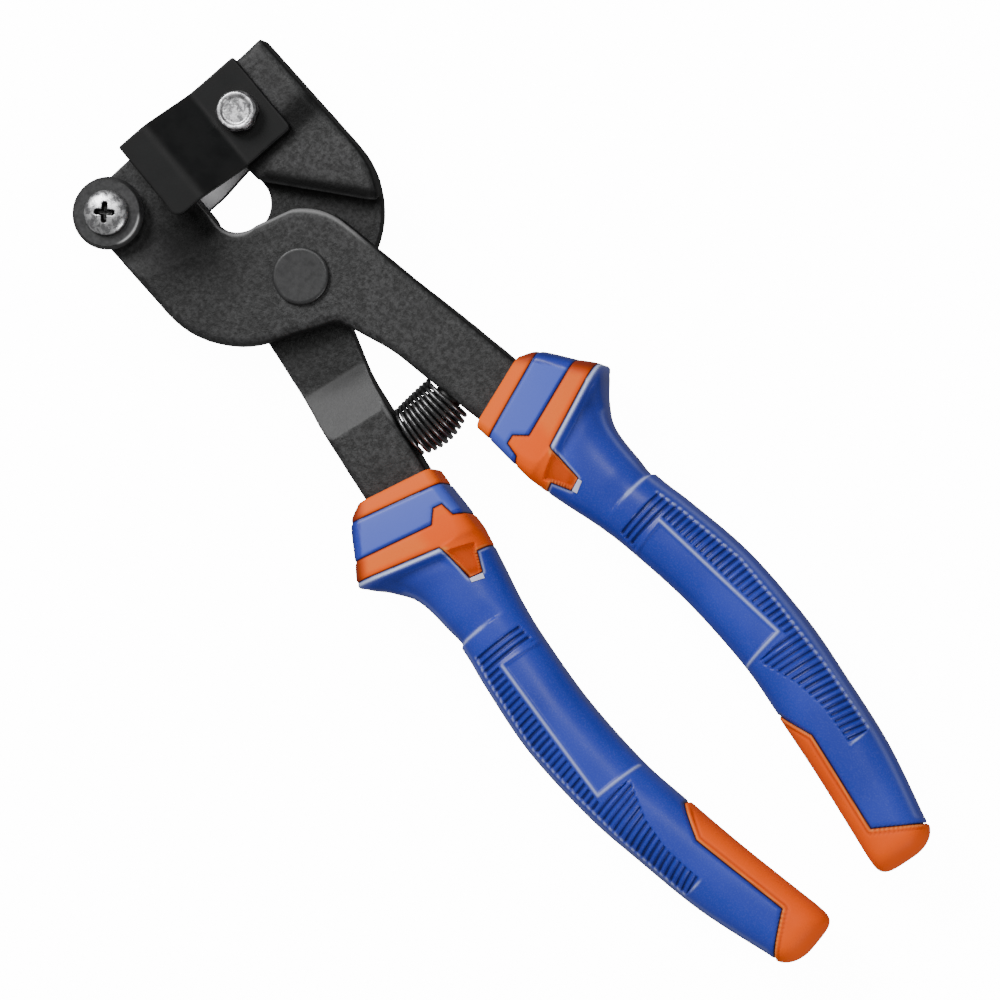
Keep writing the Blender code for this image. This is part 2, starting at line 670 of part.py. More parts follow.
steel = material("forged_steel", (0.060, 0.060, 0.062), 0.55, 0.6)
rivet_steel = material("rivet_steel", (0.085, 0.085, 0.087), 0.45, 0.7)
bright_steel = material("wheel_steel", (0.062, 0.062, 0.065), 0.40, 0.8)
spring_steel = material("spring_steel", (0.010, 0.010, 0.011), 0.35, 0.6)
black = material("blackened_sheet", (0.015, 0.015, 0.016), 0.45, 0.3)
zinc = material("zinc_plate", (0.62, 0.62, 0.63), 0.30, 1.0)
brass = material("bush_brass", (0.60, 0.43, 0.16), 0.35, 1.0)
blue = material("blue_moulding", (0.033, 0.085, 0.375), 0.42)
orange = material("orange_moulding", (0.80, 0.165, 0.020), 0.40)
pale_blue = material("pale_moulding", (0.50, 0.52, 0.72), 0.35)

pivot = empty("pivot", (0, 0, MIDDLE_Z))
front_half = empty("front_half", (0, 0, 0), parent=pivot)
rear_half = empty("rear_half", (0, 0, 0), (math.pi, 0, 0), pivot)
foot_swivel = empty("foot_swivel", (*FOOT_AXIS, 0), (0, 0, FOOT_SWING), pivot)

build_arm("lower_jaw_arm", front_half, WHEEL_AXIS, WHEEL_SCREW_RADIUS)
build_arm("upper_jaw_arm", rear_half, (FOOT_AXIS[0], -FOOT_AXIS[1]), FOOT_SLEEVE_RADIUS)
build_rivet(pivot)
for half, peg_name in ((front_half, "upper_spring_peg"), (rear_half, "lower_spring_peg")):
    frame = peg_frame(half, peg_name + "_frame")
    peg = rod(peg_name, PEG_RADIUS, -PEG_DEPTH + GAP, PEG_REACH, 24)
    add_object(peg_name, peg, parts, frame, rivet_steel)
build_spring(pivot)
build_foot(foot_swivel)
build_wheel(front_half)
build_grip("upper_grip", front_half, 1)
build_grip("lower_grip", rear_half, -1)
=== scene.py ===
"""The looks of the tile cutting pliers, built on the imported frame.

Shapes are drawn in millimetres.  Each half is drawn in its own frame: x runs
from the pivot to the handle's end, z from the tool's middle plane to the half's
front.  The front half stands as drawn and the rear half is turned over about x.
"""

import math

import bmesh
import bpy
import numpy as np
from mathutils import Matrix, Vector, noise


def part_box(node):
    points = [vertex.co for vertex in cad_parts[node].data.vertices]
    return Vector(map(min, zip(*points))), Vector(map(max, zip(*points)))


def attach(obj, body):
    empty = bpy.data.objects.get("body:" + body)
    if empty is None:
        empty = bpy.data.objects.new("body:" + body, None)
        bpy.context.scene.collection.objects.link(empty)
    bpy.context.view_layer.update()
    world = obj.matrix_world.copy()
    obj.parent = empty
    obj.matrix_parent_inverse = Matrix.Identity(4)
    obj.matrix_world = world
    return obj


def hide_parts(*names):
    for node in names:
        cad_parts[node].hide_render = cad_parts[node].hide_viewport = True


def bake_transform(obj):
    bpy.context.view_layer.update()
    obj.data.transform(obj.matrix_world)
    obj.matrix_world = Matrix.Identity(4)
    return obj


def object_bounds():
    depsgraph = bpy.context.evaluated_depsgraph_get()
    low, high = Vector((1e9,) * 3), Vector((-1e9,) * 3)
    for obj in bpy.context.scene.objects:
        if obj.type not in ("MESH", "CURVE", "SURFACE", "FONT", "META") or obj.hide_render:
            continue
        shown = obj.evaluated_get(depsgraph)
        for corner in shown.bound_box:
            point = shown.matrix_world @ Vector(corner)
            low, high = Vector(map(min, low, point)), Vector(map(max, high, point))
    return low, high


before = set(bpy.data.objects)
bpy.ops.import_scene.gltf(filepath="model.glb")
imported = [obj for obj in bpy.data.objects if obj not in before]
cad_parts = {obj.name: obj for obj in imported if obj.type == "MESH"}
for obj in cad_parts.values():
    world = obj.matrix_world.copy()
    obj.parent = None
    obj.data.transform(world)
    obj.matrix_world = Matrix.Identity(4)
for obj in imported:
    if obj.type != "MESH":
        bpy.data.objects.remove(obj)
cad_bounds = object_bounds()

MM = 0.001
TINY = 1e-6


def centre(node):
    low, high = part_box(node)
    return (low + high) / 2


MIDDLE = centre("pivot_rivet").z
FRONT_HALF = Matrix.Translation((0, 0, MIDDLE))
REAR_HALF = FRONT_HALF @ Matrix.Rotation(math.pi, 4, "X")
# Across and up the picture, in the plane of the tool.
RIGHT = Vector((0.668, 0.744, 0.0))
UP = Vector((-0.744, 0.668, 0.0))
UPPER, LOWER, FOOT, WHEEL = "upper_jaw_half", "lower_jaw_half", "breaker_foot", "wheel"

# ---- meshes


def mesh_of(name, points, faces):
    """A mesh from points in millimetres."""
    mesh = bpy.data.meshes.new(name)
    mesh.from_pydata((np.asarray(points, float) * MM).tolist(), [], faces)
    mesh.update()
    return mesh


def points_of(mesh):
    flat = np.empty(len(mesh.vertices) * 3, np.float32)
    mesh.vertices.foreach_get("co", flat)
    return flat.reshape(-1, 3).astype(float)


def set_points(mesh, points):
    mesh.vertices.foreach_set("co", np.asarray(points, np.float32).ravel())
    mesh.update()


def outward(mesh):
    bm = bmesh.new()
    bm.from_mesh(mesh)
    bmesh.ops.recalc_face_normals(bm, faces=bm.faces)
    bm.to_mesh(mesh)
    bm.free()
    return mesh


def evaluated(mesh, *settings):
    """The mesh after modifiers, each given as (type, {setting: value})."""
    obj = bpy.data.objects.new("scratch", mesh)
    bpy.context.scene.collection.objects.link(obj)
    for kind, values in settings:
        modifier = obj.modifiers.new(kind, kind)
        for key, value in values.items():
            setattr(modifier, key, value)
    graph = bpy.context.evaluated_depsgraph_get()
    made = bpy.data.meshes.new_from_object(obj.evaluated_get(graph))
    bpy.data.objects.remove(obj, do_unlink=True)
    return made


def combined(mesh, other, operation, solver="MANIFOLD"):
    """The mesh joined with, cut by or kept inside another closed mesh."""
    cutter = bpy.data.objects.new("cutter", other)
    bpy.context.scene.collection.objects.link(cutter)
    values = {"operation": operation, "object": cutter, "solver": solver}
    made = evaluated(mesh, ("BOOLEAN", values))
    bpy.data.objects.remove(cutter, do_unlink=True)
    return made


def welded(mesh, distance=1e-7):
    bm = bmesh.new()
    bm.from_mesh(mesh)
    bmesh.ops.remove_doubles(bm, verts=bm.verts, dist=distance)
    made = bpy.data.meshes.new(mesh.name)
    bm.to_mesh(made)
    bm.free()
    return made


def softened(mesh, voxel, rounds, factor=0.5):
    """A closed mesh remeshed in even quads, its edges worn round by smoothing."""
    return evaluated(
        mesh,
        ("REMESH", {"mode": "VOXEL", "voxel_size": voxel * MM, "use_smooth_shade": True}),
        ("SMOOTH", {"factor": factor, "iterations": rounds}),
    )


def tube(name, rings):
    """A closed skin over rings of as many points each, capped at both ends."""
    rings = np.asarray(rings, float)
    rows, count = rings.shape[:2]
    index = np.arange(rows * count).reshape(rows, count)
    ahead = np.roll(index, -1, axis=1)
    sides = np.stack([index[:-1], ahead[:-1], ahead[1:], index[1:]], axis=-1)
    faces = sides.reshape(-1, 4).tolist()
    faces += [tuple(index[0][::-1].tolist()), tuple(index[-1].tolist())]
    return outward(mesh_of(name, rings.reshape(-1, 3), faces))


def prism(name, outline, low, high):
    """A closed outline of (x, y) between two heights."""
    return tube(name, [[(x, y, z) for x, y in outline] for z in (low, high)])


def turned(name, profile, segments=128):
    """A solid of revolution about z from a profile of (radius, height)."""
    angles = np.linspace(0, math.tau, segments, endpoint=False)
    bm = bmesh.new()
    rows = []
    for radius, height in profile:
        if radius < TINY:
            rows.append([bm.verts.new((0, 0, height * MM))])
            continue
        rows.append([
            bm.verts.new((radius * math.cos(a) * MM, radius * math.sin(a) * MM, height * MM))
            for a in angles
        ])
    hollow = profile[0][0] > TINY
    following = rows[1:] + rows[:1] if hollow else rows[1:]
    for row, after in zip(rows, following):
        for i in range(segments):
            j = (i + 1) % segments
            corners = [ring[k % len(ring)] for ring, k in ((row, i), (row, j), (after, j), (after, i))]
            corners = list(dict.fromkeys(corners))
            if len(corners) > 2:
                bm.faces.new(corners)
    bmesh.ops.recalc_face_normals(bm, faces=bm.faces)
    mesh = bpy.data.meshes.new(name)
    bm.to_mesh(mesh)
    bm.free()
    return mesh


def rounded_profile(corners, radius, steps=5):
    """A profile whose corners are rounded, except the first and last."""
    points = [Vector(c) for c in corners]
    line = [tuple(points[0])]
    for before, corner, after in zip(points, points[1:], points[2:]):
        back, ahead = before - corner, after - corner
        reach = min(radius, back.length / 2, ahead.length / 2)
        start = corner + back.normalized() * reach
        end = corner + ahead.normalized() * reach
        for i in range(steps + 1):
            u = i / steps
            line.append(tuple((1 - u) ** 2 * start + 2 * u * (1 - u) * corner + u**2 * end))
    line.append(tuple(points[-1]))
    return line


# ---- fields


def smooth(value, low, high):
    t = np.clip((value - low) / (high - low), 0, 1)
    return t * t * (3 - 2 * t)


def ridge(distance, width):
    return np.exp(-((distance / width) ** 2))


def line_distance(points, line, closed=False):
    """The distance from each (x, y) to a line through corners."""
    corners = np.asarray(line, float)
    if closed:
        corners = np.vstack([corners, corners[:1]])
    best = np.full(len(points), np.inf)
    for a, b in zip(corners, corners[1:]):
        along = b - a
        t = np.clip((points - a) @ along / (along @ along), 0, 1)
        best = np.minimum(best, np.hypot(*(points - a - t[:, None] * along).T))
    return best


def depth_inside(points, polygon):
    """How far inside a closed outline each (x, y) lies, less than 0 outside it."""
    corners = np.asarray(polygon, float)
    x, y = points.T
    within = np.zeros(len(points), bool)
    for (ax, ay), (bx, by) in zip(corners, np.roll(corners, -1, axis=0)):
        if ay == by:
            continue
        crosses = (ay > y) != (by > y)
        within ^= crosses & (x < ax + (y - ay) * (bx - ax) / (by - ay))
    distance = line_distance(points, polygon, closed=True)
    return np.where(within, distance, -distance)


def past_line(points, a, b):
    """How far each (x, y) lies beyond the line a b, towards the handle's end."""
    a, b = np.asarray(a, float), np.asarray(b, float)
    along = (b - a) / np.hypot(*(b - a))
    normal = np.array([-along[1], along[0]])
    if normal[0] < 0:
        normal = -normal
    return (points - a) @ normal


# ---- grips

# In this section plain numbers given to smooth and ridge are millimetres.

# Stations along the handle: inner edge x, y, outer edge x, y, half thickness,
# and how square the section is (2 is an ellipse).
GRIP_STATIONS = np.array((
    (44.1, 5.7, 39.6, 21.2, 6.9, 6.5),
    (47.0, 6.0, 41.4, 24.3, 7.7, 6.5),
    (53.6, 6.4, 47.0, 28.3, 8.6, 6.0),
    (57.5, 6.6, 50.5, 30.9, 8.9, 5.0),
    (59.2, 6.8, 52.5, 30.3, 8.7, 3.6),
    (62.0, 7.3, 56.3, 27.2, 8.1, 2.8),
    (66.0, 8.3, 61.5, 24.6, 7.5, 2.6),
    (73.5, 10.3, 71.6, 24.3, 7.2, 2.6),
    (81.3, 11.7, 80.6, 26.0, 7.4, 2.6),
    (95.3, 13.2, 95.5, 28.0, 7.8, 2.6),
    (110.6, 13.2, 112.0, 27.7, 7.8, 2.6),
    (121.5, 11.9, 124.5, 26.1, 7.6, 2.6),
    (135.5, 9.9, 139.5, 23.6, 7.3, 2.6),
    (152.5, 6.9, 154.3, 19.4, 6.8, 2.6),
))
# The front end is rounded over: how much of the section is left, and how far ahead.
FRONT_ROUNDING = ((0.80, -0.45), (0.93, -0.40), (0.965, -0.28), (0.99, -0.10))
# The collar's front and rear are flat, as a part of its half thickness.
COLLAR_FLAT = 0.955
# The far end is a dome: its height, and how square it is inwards, outwards and up.
GRIP_DOME = 4.9
DOME_POWERS = (5.0, 2.3, 2.6)
DOME_STEPS = 25
GRIP_ROUND_COUNT = 208
HEART_ROUND_COUNT = 96
CORE_WALL = 0.85
CORE_GAP = 0.12
SCOOP_DEPTH = 1.25
SEAM_GAP = 0.05
MEAN_THICK = 8
# Past every edge of the grip, along it, beside it and above it.
BEFORE, BEYOND, OUTSIDE, ABOVE = 30, 180, 40, 20

BAND_SEAM = ((49.2, 0), (36.1, 40))
CROSS_SEAM = (
    (55.0, 0), (54.2, 6.8), (53.4, 8.1), (50.5, 8.4), (50.0, 10.2), (52.2, 12.5), (43.8, 40),
)
BODY_SEAM = (
    (61.9, 0), (61.8, 7.4), (61.4, 9.5), (65.0, 11.3), (64.2, 13.9), (57.1, 14.0),
    (56.4, 14.2), (47.2, 40),
)
CAP_SEAM = (
    (121.5, 0), (122.5, 12.2), (129.6, 14.7), (149.8, 11.2), (155.4, 18.9), (164, 31), (170, 40),
)
CAP_OUTLINE = (CAP_SEAM[0], (BEYOND, 0), (BEYOND, OUTSIDE), *reversed(CAP_SEAM[1:]))
SEAM_GROOVES = ((BAND_SEAM, 0.22), (CROSS_SEAM, 0.22), (BODY_SEAM, 0.16), (CAP_SEAM, 0.28))
WINDOW = ((65.2, 11.4), (66.2, 11.8), (65.2, 14.1), (64.4, 13.9))
WINDOW_HEIGHTS = (4, 15)
WINDOW_GAP = 0.1
RIM = ((56.4, 14.2), (47.2, 40))
RIM_SLANT = 0.37
# The flat panel of the collar ends outwards on a slanting line.
FACET_END = (44.5, 24.0)
FACET_SLANT = 0.79
FOLD = ((57.7, 13.5), (59.8, 8.6))
TAIL = ((57.7, 13.5), (64.2, 13.9), (65.0, 11.3), (61.4, 9.5), (59.8, 8.6))
STEP = ((72.4, 24.3), (72.9, 16.4), (73.9, 10.5))
RIB_FIELD = (
    (76.2, 23.2), (82.0, 24.5), (95.9, 26.6), (108.0, 26.2), (120.7, 25.3), (135.7, 23.3),
    (135.9, 18.9), (127.3, 19.9), (120.5, 19.1), (112.7, 16.3), (112.4, 23.7), (80.2, 20.9),
    (81.0, 12.8), (76.6, 12.8),
)
RIB_BORDER = RIB_FIELD[:7]
RIB_PITCH = 1.34
RIB_SQUARENESS = 2.2
PANEL = ((81.9, 11.0), (80.8, 20.2), (111.1, 22.9), (111.9, 11.0))
# The stations between which the body's outer rim gets a painted highlight.
OUTER_RIM = (5.5, 12.9)

# How far things stand out or are sunk.
RIM_HEIGHT = 0.20
NECK_DIP = 0.38
SLEEVE_HEIGHT = 0.16
RIB_FIELD_DEPTH = 0.52
RIB_HEIGHT = 0.50
BORDER_HEIGHT = 0.10
FRAME_HEIGHT = 0.20
PANEL_DEPTH = 0.14
CAP_HEIGHT = 0.20
TAIL_STEP = 0.55
TAIL_FALL = 0.14


def sections(stations):
    """Inner and outer edge, half thickness and squareness at stations, smoothly."""
    last = len(GRIP_STATIONS) - 1
    i = np.minimum(stations.astype(int), last - 1)
    u = (stations - i)[:, None]
    a, b, c, d = (GRIP_STATIONS[np.clip(i + k, 0, last)] for k in (-1, 0, 1, 2))
    v = 2 * b + (c - a) * u + (2 * a - 5 * b + 4 * c - d) * u**2 + (3 * b - a - 3 * c + d) * u**3
    return v[:, 0:2] / 2, v[:, 2:4] / 2, v[:, 4] / 2, v[:, 5] / 2


def spaced_stations(spacing):
    """Stations whose distance along the handle follows spacing at each x."""
    fine = np.linspace(0, len(GRIP_STATIONS) - 1, 4000)
    inner, outer, _, _ = sections(fine)
    middle = (inner + outer) / 2
    length = np.concatenate([[0], np.cumsum(np.hypot(*np.diff(middle, axis=0).T))])
    density = 1 / np.interp(middle[:, 0], *zip(*spacing))
    rank = np.concatenate([[0], np.cumsum(np.diff(length) * (density[1:] + density[:-1]) / 2)])
    ranks = np.linspace(0, rank[-1], int(rank[-1]) + 1)
    return np.interp(ranks, rank, fine), np.interp(ranks, rank, length)


def even_ring(width, height, squareness, flat, count):
    """A rounded section with evenly spaced points, its front cut flat at flat."""
    angles = np.linspace(0, math.tau, 1441)
    c, s = np.cos(angles), np.sin(angles)
    p = np.copysign(np.abs(c) ** (2 / squareness), c) * width
    q = np.copysign(np.abs(s) ** (2 / squareness), s) * height
    q = np.clip(q, -flat * height, flat * height)
    walked = np.concatenate([[0], np.cumsum(np.hypot(np.diff(p), np.diff(q)))])
    at = np.linspace(0, walked[-1], count, endpoint=False)
    return np.interp(at, walked, p), np.interp(at, walked, q)


def grip_grid(spacing, count, shrink=0.0):
    """The grip's rings of points and how far along the handle each ring is."""
    stations, lengths = spaced_stations(spacing)
    inner, outer, thick, square = sections(stations)
    middle, across = (inner + outer) / 2, outer - inner
    width = np.hypot(*across.T) / 2
    across = across / width[:, None] / 2
    along = np.stack([across[:, 1], -across[:, 0]], axis=1)
    # The collar is as far as the fourth station.
    flat = COLLAR_FLAT + (1 - COLLAR_FLAT) * smooth(stations, 3.2, 4.0)
    dome = np.sin(np.radians(np.linspace(0, 90, DOME_STEPS + 1)[1:]))
    dome[-1] = 0.9995  # The last ring stays open.
    end = [([(1 - u**power) ** (1 / power) for power in DOME_POWERS], GRIP_DOME * u) for u in dome]
    plan = [(0, (scale, scale, scale), shift) for scale, shift in FRONT_ROUNDING]
    plan += [(k, (1.0, 1.0, 1.0), 0.0) for k in range(len(stations))]
    plan += [(len(stations) - 1, scales, shift) for scales, shift in end]
    rings, reach = [], []
    for k, (inner_scale, outer_scale, high_scale), shift in plan:
        p, q = even_ring(width[k] - shrink, thick[k] - shrink, square[k], flat[k], count)
        p = p * np.where(p > 0, outer_scale, inner_scale)
        place = middle[k] + across[k] * p[:, None] + along[k] * shift * (1 - shrink / MEAN_THICK)
        rings.append(np.column_stack([place, q * high_scale]))
        reach.append(lengths[k] + shift)
    return np.array(rings), np.array(reach)


def towards_outside(flat):
    """How far each (x, y) lies towards the grip's outside, on a slant to the rim."""
    return flat[:, 1] + RIM_SLANT * (flat[:, 0] - RIM[0][0])


def past_facet(flat):
    """How far each (x, y) lies outside the collar's flat panel."""
    return flat[:, 1] - FACET_END[1] - FACET_SLANT * (flat[:, 0] - FACET_END[0])


def on_tail(flat):
    return smooth(depth_inside(flat, TAIL), -0.05, 0.25)


def hollows(flat, facing):
    """The scoop behind the body's rim and the cross's falling tail, less than 0."""
    behind = past_line(flat, *RIM)
    scoop = smooth(behind, 1.0, 2.3) * np.exp(-np.clip(behind - 2.3, 0, None) / 4.0)
    scoop *= smooth(towards_outside(flat), 13.2, 17.0)
    fall = np.clip(past_line(flat, *FOLD), 0, None)
    drop = (TAIL_STEP * smooth(fall, -0.1, 0.35) + TAIL_FALL * fall) * on_tail(flat)
    return -(SCOOP_DEPTH * scoop + drop) * facing


def grip_relief(points, normals, reach):
    """How far the moulded surface stands out from the plain grip, in millimetres."""
    flat = points[:, :2]
    facing = facing_out(normals)
    relief = hollows(flat, facing)
    for seam, depth in SEAM_GROOVES:
        relief -= depth * ridge(line_distance(flat, seam), 0.32)
    rim = ridge(past_line(flat, *RIM) - 0.75, 0.45) * smooth(towards_outside(flat), 13.2, 17.0)
    relief += RIM_HEIGHT * rim

    # The sleeve starts at a step round the neck.
    step = np.minimum(past_line(flat, STEP[0], STEP[1]), past_line(flat, STEP[1], STEP[2]))
    on_sleeve = smooth(step, -0.25, 0.30)
    dip = NECK_DIP * smooth(step, -5.0, -0.3) * (1 - on_sleeve)
    swell = SLEEVE_HEIGHT * on_sleeve * (1 - smooth(step, 1.0, 5.0))
    relief += (swell - dip) * smooth(flat[:, 1], 12.5, 16.5)

    # Ribs in a sunk field, and the blank panel in its frame.
    wave = np.cos(math.tau * reach / RIB_PITCH)
    ribs = 0.5 + 0.5 * np.tanh(RIB_SQUARENESS * wave) / math.tanh(RIB_SQUARENESS)
    field = smooth(depth_inside(flat, RIB_FIELD), -0.10, 0.22)
    relief += facing * field * (RIB_HEIGHT * ribs - RIB_FIELD_DEPTH)
    relief += BORDER_HEIGHT * ridge(line_distance(flat, RIB_BORDER), 0.30) * facing
    relief += FRAME_HEIGHT * ridge(line_distance(flat, PANEL), 0.38) * facing
    relief -= PANEL_DEPTH * smooth(depth_inside(flat, PANEL), 0.1, 0.7) * facing

    # The cap's long strip stands a little proud inside a narrow bevel.
    strip = depth_inside(flat, CAP_OUTLINE)
    bevel = ridge(strip - 0.95, 0.22) * facing
    return relief + CAP_HEIGHT * (smooth(strip, 0.05, 0.35) - bevel)


def facing_out(normals):
    """How much each normal faces the tool's front or rear, rather than its sides."""
    return smooth(np.abs(normals[:, 2]), 0.25, 0.6)


def grip_form(spacing, count, shrink=0.0):
    """The grip's moulded form, or its plain inside a distance under the surface."""
    rings, reach = grip_grid(spacing, count, shrink)
    rows = np.gradient(rings, axis=0)
    round_about = np.roll(rings, -1, axis=1) - np.roll(rings, 1, axis=1)
    normals = np.cross(rows, round_about)
    normals /= np.linalg.norm(normals, axis=2, keepdims=True) + 1e-12
    outwards = np.sign(((rings - rings.mean(axis=1, keepdims=True)) * normals).sum(axis=2).mean())
    normals *= outwards
    points, facings = rings.reshape(-1, 3), normals.reshape(-1, 3)
    if shrink:
        amount = hollows(points[:, :2], facing_out(facings))
    else:
        amount = grip_relief(points, facings, np.repeat(reach, count))
    return tube("grip", rings + normals * amount.reshape(len(rings), count, 1))


def paint_grip(mesh):
    """Point attributes for the grip's materials: painted highlights on edges, painted shade in seams and
    hollows, and the facet painted lighter.
    """
    points = points_of(mesh) / MM
    flat, height = points[:, :2], np.abs(points[:, 2])
    front = smooth(height, 2.5, 4.5)
    behind = past_line(flat, *RIM)
    from_outside = past_facet(flat)
    strip = depth_inside(flat, CAP_OUTLINE)
    ribs = 0.5 + 0.5 * np.cos(math.tau * handle_reach(flat) / RIB_PITCH)
    outer_rim = sections(np.linspace(*OUTER_RIM, 60))[1]
    past_band = past_line(flat, *BAND_SEAM)
    past_cross = past_line(flat, CROSS_SEAM[0], CROSS_SEAM[-1])

    # Painted highlight lines on edges and beads: how far off each lies, its width and how pale it is.
    pale = ridge(behind - 0.55, 0.36) * smooth(towards_outside(flat), 13.0, 14.4)
    for off, width, strength in (
        (line_distance(flat, RIB_BORDER), 0.24, 0.55 * ribs),
        (line_distance(flat, PANEL[1:]), 0.26, 0.60),
        (line_distance(flat, BODY_SEAM[1:6]) - 0.30, 0.22, 0.45),
        (line_distance(flat, STEP), 0.32, 0.60 * smooth(flat[:, 1], 15.5, 19.5)),
        (line_distance(flat, outer_rim) - 0.75, 0.40, 0.16 * smooth(behind, 2.0, 6.0)),
        (strip - 0.27, 0.17, 0.70),
    ):
        pale = np.maximum(pale, strength * ridge(off, width) * front)
    # The cross's arm and the front band get a painted highlight between their ends.
    arm = smooth(past_cross, 0.4, 1.2) * smooth(-behind, 0.5, 1.2)
    arm *= smooth(flat[:, 1], 14.0, 17.0) * smooth(-from_outside, 0.2, 2.0)
    band = smooth(-past_band, 0.3, 1.0) * smooth(-from_outside, 0.2, 2.0)
    pale = np.maximum(pale, (0.20 * arm + 0.08 * band) * front)

    # Painted shade in the seams' grooves, on the cap strip's bevel, outside the collar's flat panel, on
    # the bands' outer ends, in the neck's hollow, on the cross's tail and in the ribs' grooves.
    before_rim = smooth(-behind, -0.2, 0.2)
    past_line_of_cross = past_line(flat, CROSS_SEAM[-2], CROSS_SEAM[-1])
    on_collar = smooth(past_band, -0.1, 0.1) * smooth(-past_line_of_cross, -0.1, 0.1)
    orange_end = smooth(2.0 + from_outside, 0.0, 3.6) * (1 - on_collar)
    neck = smooth(behind, 1.0, 2.4) * np.exp(-np.clip(behind - 2.4, 0, None) / 3.5)
    neck *= smooth(towards_outside(flat), 16.0, 23.0)
    grooves = smooth(depth_inside(flat, RIB_FIELD), -0.05, 0.3) * (1 - smooth(ribs, 0.15, 0.6))
    seams = np.min([line_distance(flat, seam) for seam, _ in SEAM_GROOVES], axis=0)
    dark = np.max((
        ridge(seams, 0.20),
        0.35 * ridge(strip - 0.95, 0.20) * front,
        0.60 * smooth(from_outside, 0.6, 2.2) * before_rim,
        0.78 * orange_end * before_rim,
        0.38 * neck,
        0.30 * on_tail(flat),
        0.55 * grooves * front,
    ), axis=0)
    # The collar's flat front panel is painted lighter: painted light on the flat face.
    facet = smooth(-from_outside, 0.0, 0.35) * smooth(height, 5.2, 6.4) * smooth(-past_cross, 0, 0.1)
    write_field(mesh, "pale", pale)
    write_field(mesh, "dark", dark)
    write_field(mesh, "facet", facet)


def handle_line():
    """Points along the handle's middle, the way across there, and the way walked."""
    stations, lengths = spaced_stations(((BEFORE, 1.0), (BEYOND, 1.0)))
    inner, outer, _, _ = sections(stations)
    return (inner + outer) / 2, (outer - inner) / np.hypot(*(outer - inner).T)[:, None], lengths


HANDLE = handle_line()


def handle_reach(flat, batch=20000):
    """How far along the handle each (x, y) lies, by the section that it lies in."""
    middle, across, lengths = HANDLE
    along = np.stack([across[:, 1], -across[:, 0]], axis=1)
    result = np.empty(len(flat))
    for start in range(0, len(flat), batch):
        part = flat[start:start + batch]
        offset = part[:, None, :] - middle[None]
        signed = (offset * along[None]).sum(axis=2)
        # Of sections as far along, the one that is nearer across is taken.
        best = np.abs(signed) + 0.05 * np.abs((offset * across[None]).sum(axis=2))
        k = best.argmin(axis=1)
        result[start:start + batch] = lengths[k] + signed[np.arange(len(part)), k]
    return result


def write_field(mesh, name, values):
    attribute = mesh.attributes.get(name) or mesh.attributes.new(name, "FLOAT", "POINT")
    attribute.data.foreach_set("value", np.clip(values, 0, 1).astype(np.float32))


def inset(outline, distance):
    """A closed outline moved inwards by a distance, with mitred corners."""
    points = [Vector(p) for p in outline]
    moved = []
    for i, point in enumerate(points):
        back = (point - points[i - 1]).normalized()
        ahead = (points[(i + 1) % len(points)] - point).normalized()
        normal_back = Vector((-back.y, back.x))
        normal_ahead = Vector((-ahead.y, ahead.x))
        mitre = (normal_back + normal_ahead).normalized()
        moved.append(tuple(point + mitre * distance / mitre.dot(normal_ahead)))
    return moved


TANG_NODE = {"upper_grip": "lower_jaw_arm", "lower_grip": "upper_jaw_arm"}
TANG_SPAN = (38, 60)
# How much larger than the tang's straight part its bore is, along, across and up.
TANG_ROOM = (1.3, 1.035, 1.05)


def tang_bore(node, half):
    """A closed form round the tang's straight part, to take out of the grip."""
    points = points_of(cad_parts[node].data)
    local = np.array(half.inverted())
    points = points @ local[:3, :3].T + local[:3, 3]
    points = points[(points[:, 0] > TANG_SPAN[0] * MM) & (points[:, 0] < TANG_SPAN[1] * MM)]
    middle = points.mean(axis=0)
    bm = bmesh.new()
    for point in middle + (points - middle) * np.array(TANG_ROOM):
        bm.verts.new(point)
    bmesh.ops.convex_hull(bm, input=bm.verts)
    spare = [v for v in bm.verts if not v.link_faces]
    bmesh.ops.delete(bm, geom=spare, context="VERTS")
    bmesh.ops.recalc_face_normals(bm, faces=bm.faces)
    mesh = bpy.data.meshes.new("tang_bore")
    bm.to_mesh(mesh)
    bm.free()
    return mesh


def build_grip(prefix, half, body, front_side):
    """A grip's mouldings: the orange core, blue collar and body, and pale window."""
    envelope = grip_meshes["envelope"]

    def shown(outline):
        cutter = prism("region", inset(outline, SEAM_GAP), -ABOVE, ABOVE)
        return combined(envelope, cutter, "INTERSECT")

    band = [(BEFORE, 0), *BAND_SEAM, (BEFORE, OUTSIDE)]
    collar = [BAND_SEAM[0], *CROSS_SEAM, BAND_SEAM[1]]
    cross = [CROSS_SEAM[0], *BODY_SEAM, *reversed(CROSS_SEAM[1:])]
    skin = [BODY_SEAM[0], *CAP_SEAM, *reversed(BODY_SEAM[1:])]
    window_low, window_high = sorted(front_side * height for height in WINDOW_HEIGHTS)

    core = grip_meshes["heart"]
    for outline in (band, cross, CAP_OUTLINE):
        core = combined(core, shown(outline), "UNION")
    pocket = prism("pocket", inset(WINDOW, -WINDOW_GAP), window_low, window_high)
    core = combined(core, pocket, "DIFFERENCE")
    core = combined(core, tang_bore(TANG_NODE[prefix], half), "DIFFERENCE")
    heart_room = grip_meshes["heart_room"]
    front_skin = combined(shown(collar), heart_room, "DIFFERENCE")
    rear_skin = combined(combined(shown(skin), heart_room, "DIFFERENCE"), pocket, "DIFFERENCE")
    pane = combined(envelope, prism("pane", WINDOW, window_low, window_high), "INTERSECT")
    for mesh, label, finish in (
        (core, "core", "orange_moulding"), (front_skin, "collar", "blue_moulding"),
        (rear_skin, "body", "blue_moulding"), (pane, "window", "pale_moulding"),
    ):
        paint_grip(mesh)
        name = prefix + "_" + label
        add_piece(name + "_moulding", mesh, body, finish, name, half, angle=38)


# ---- pieces


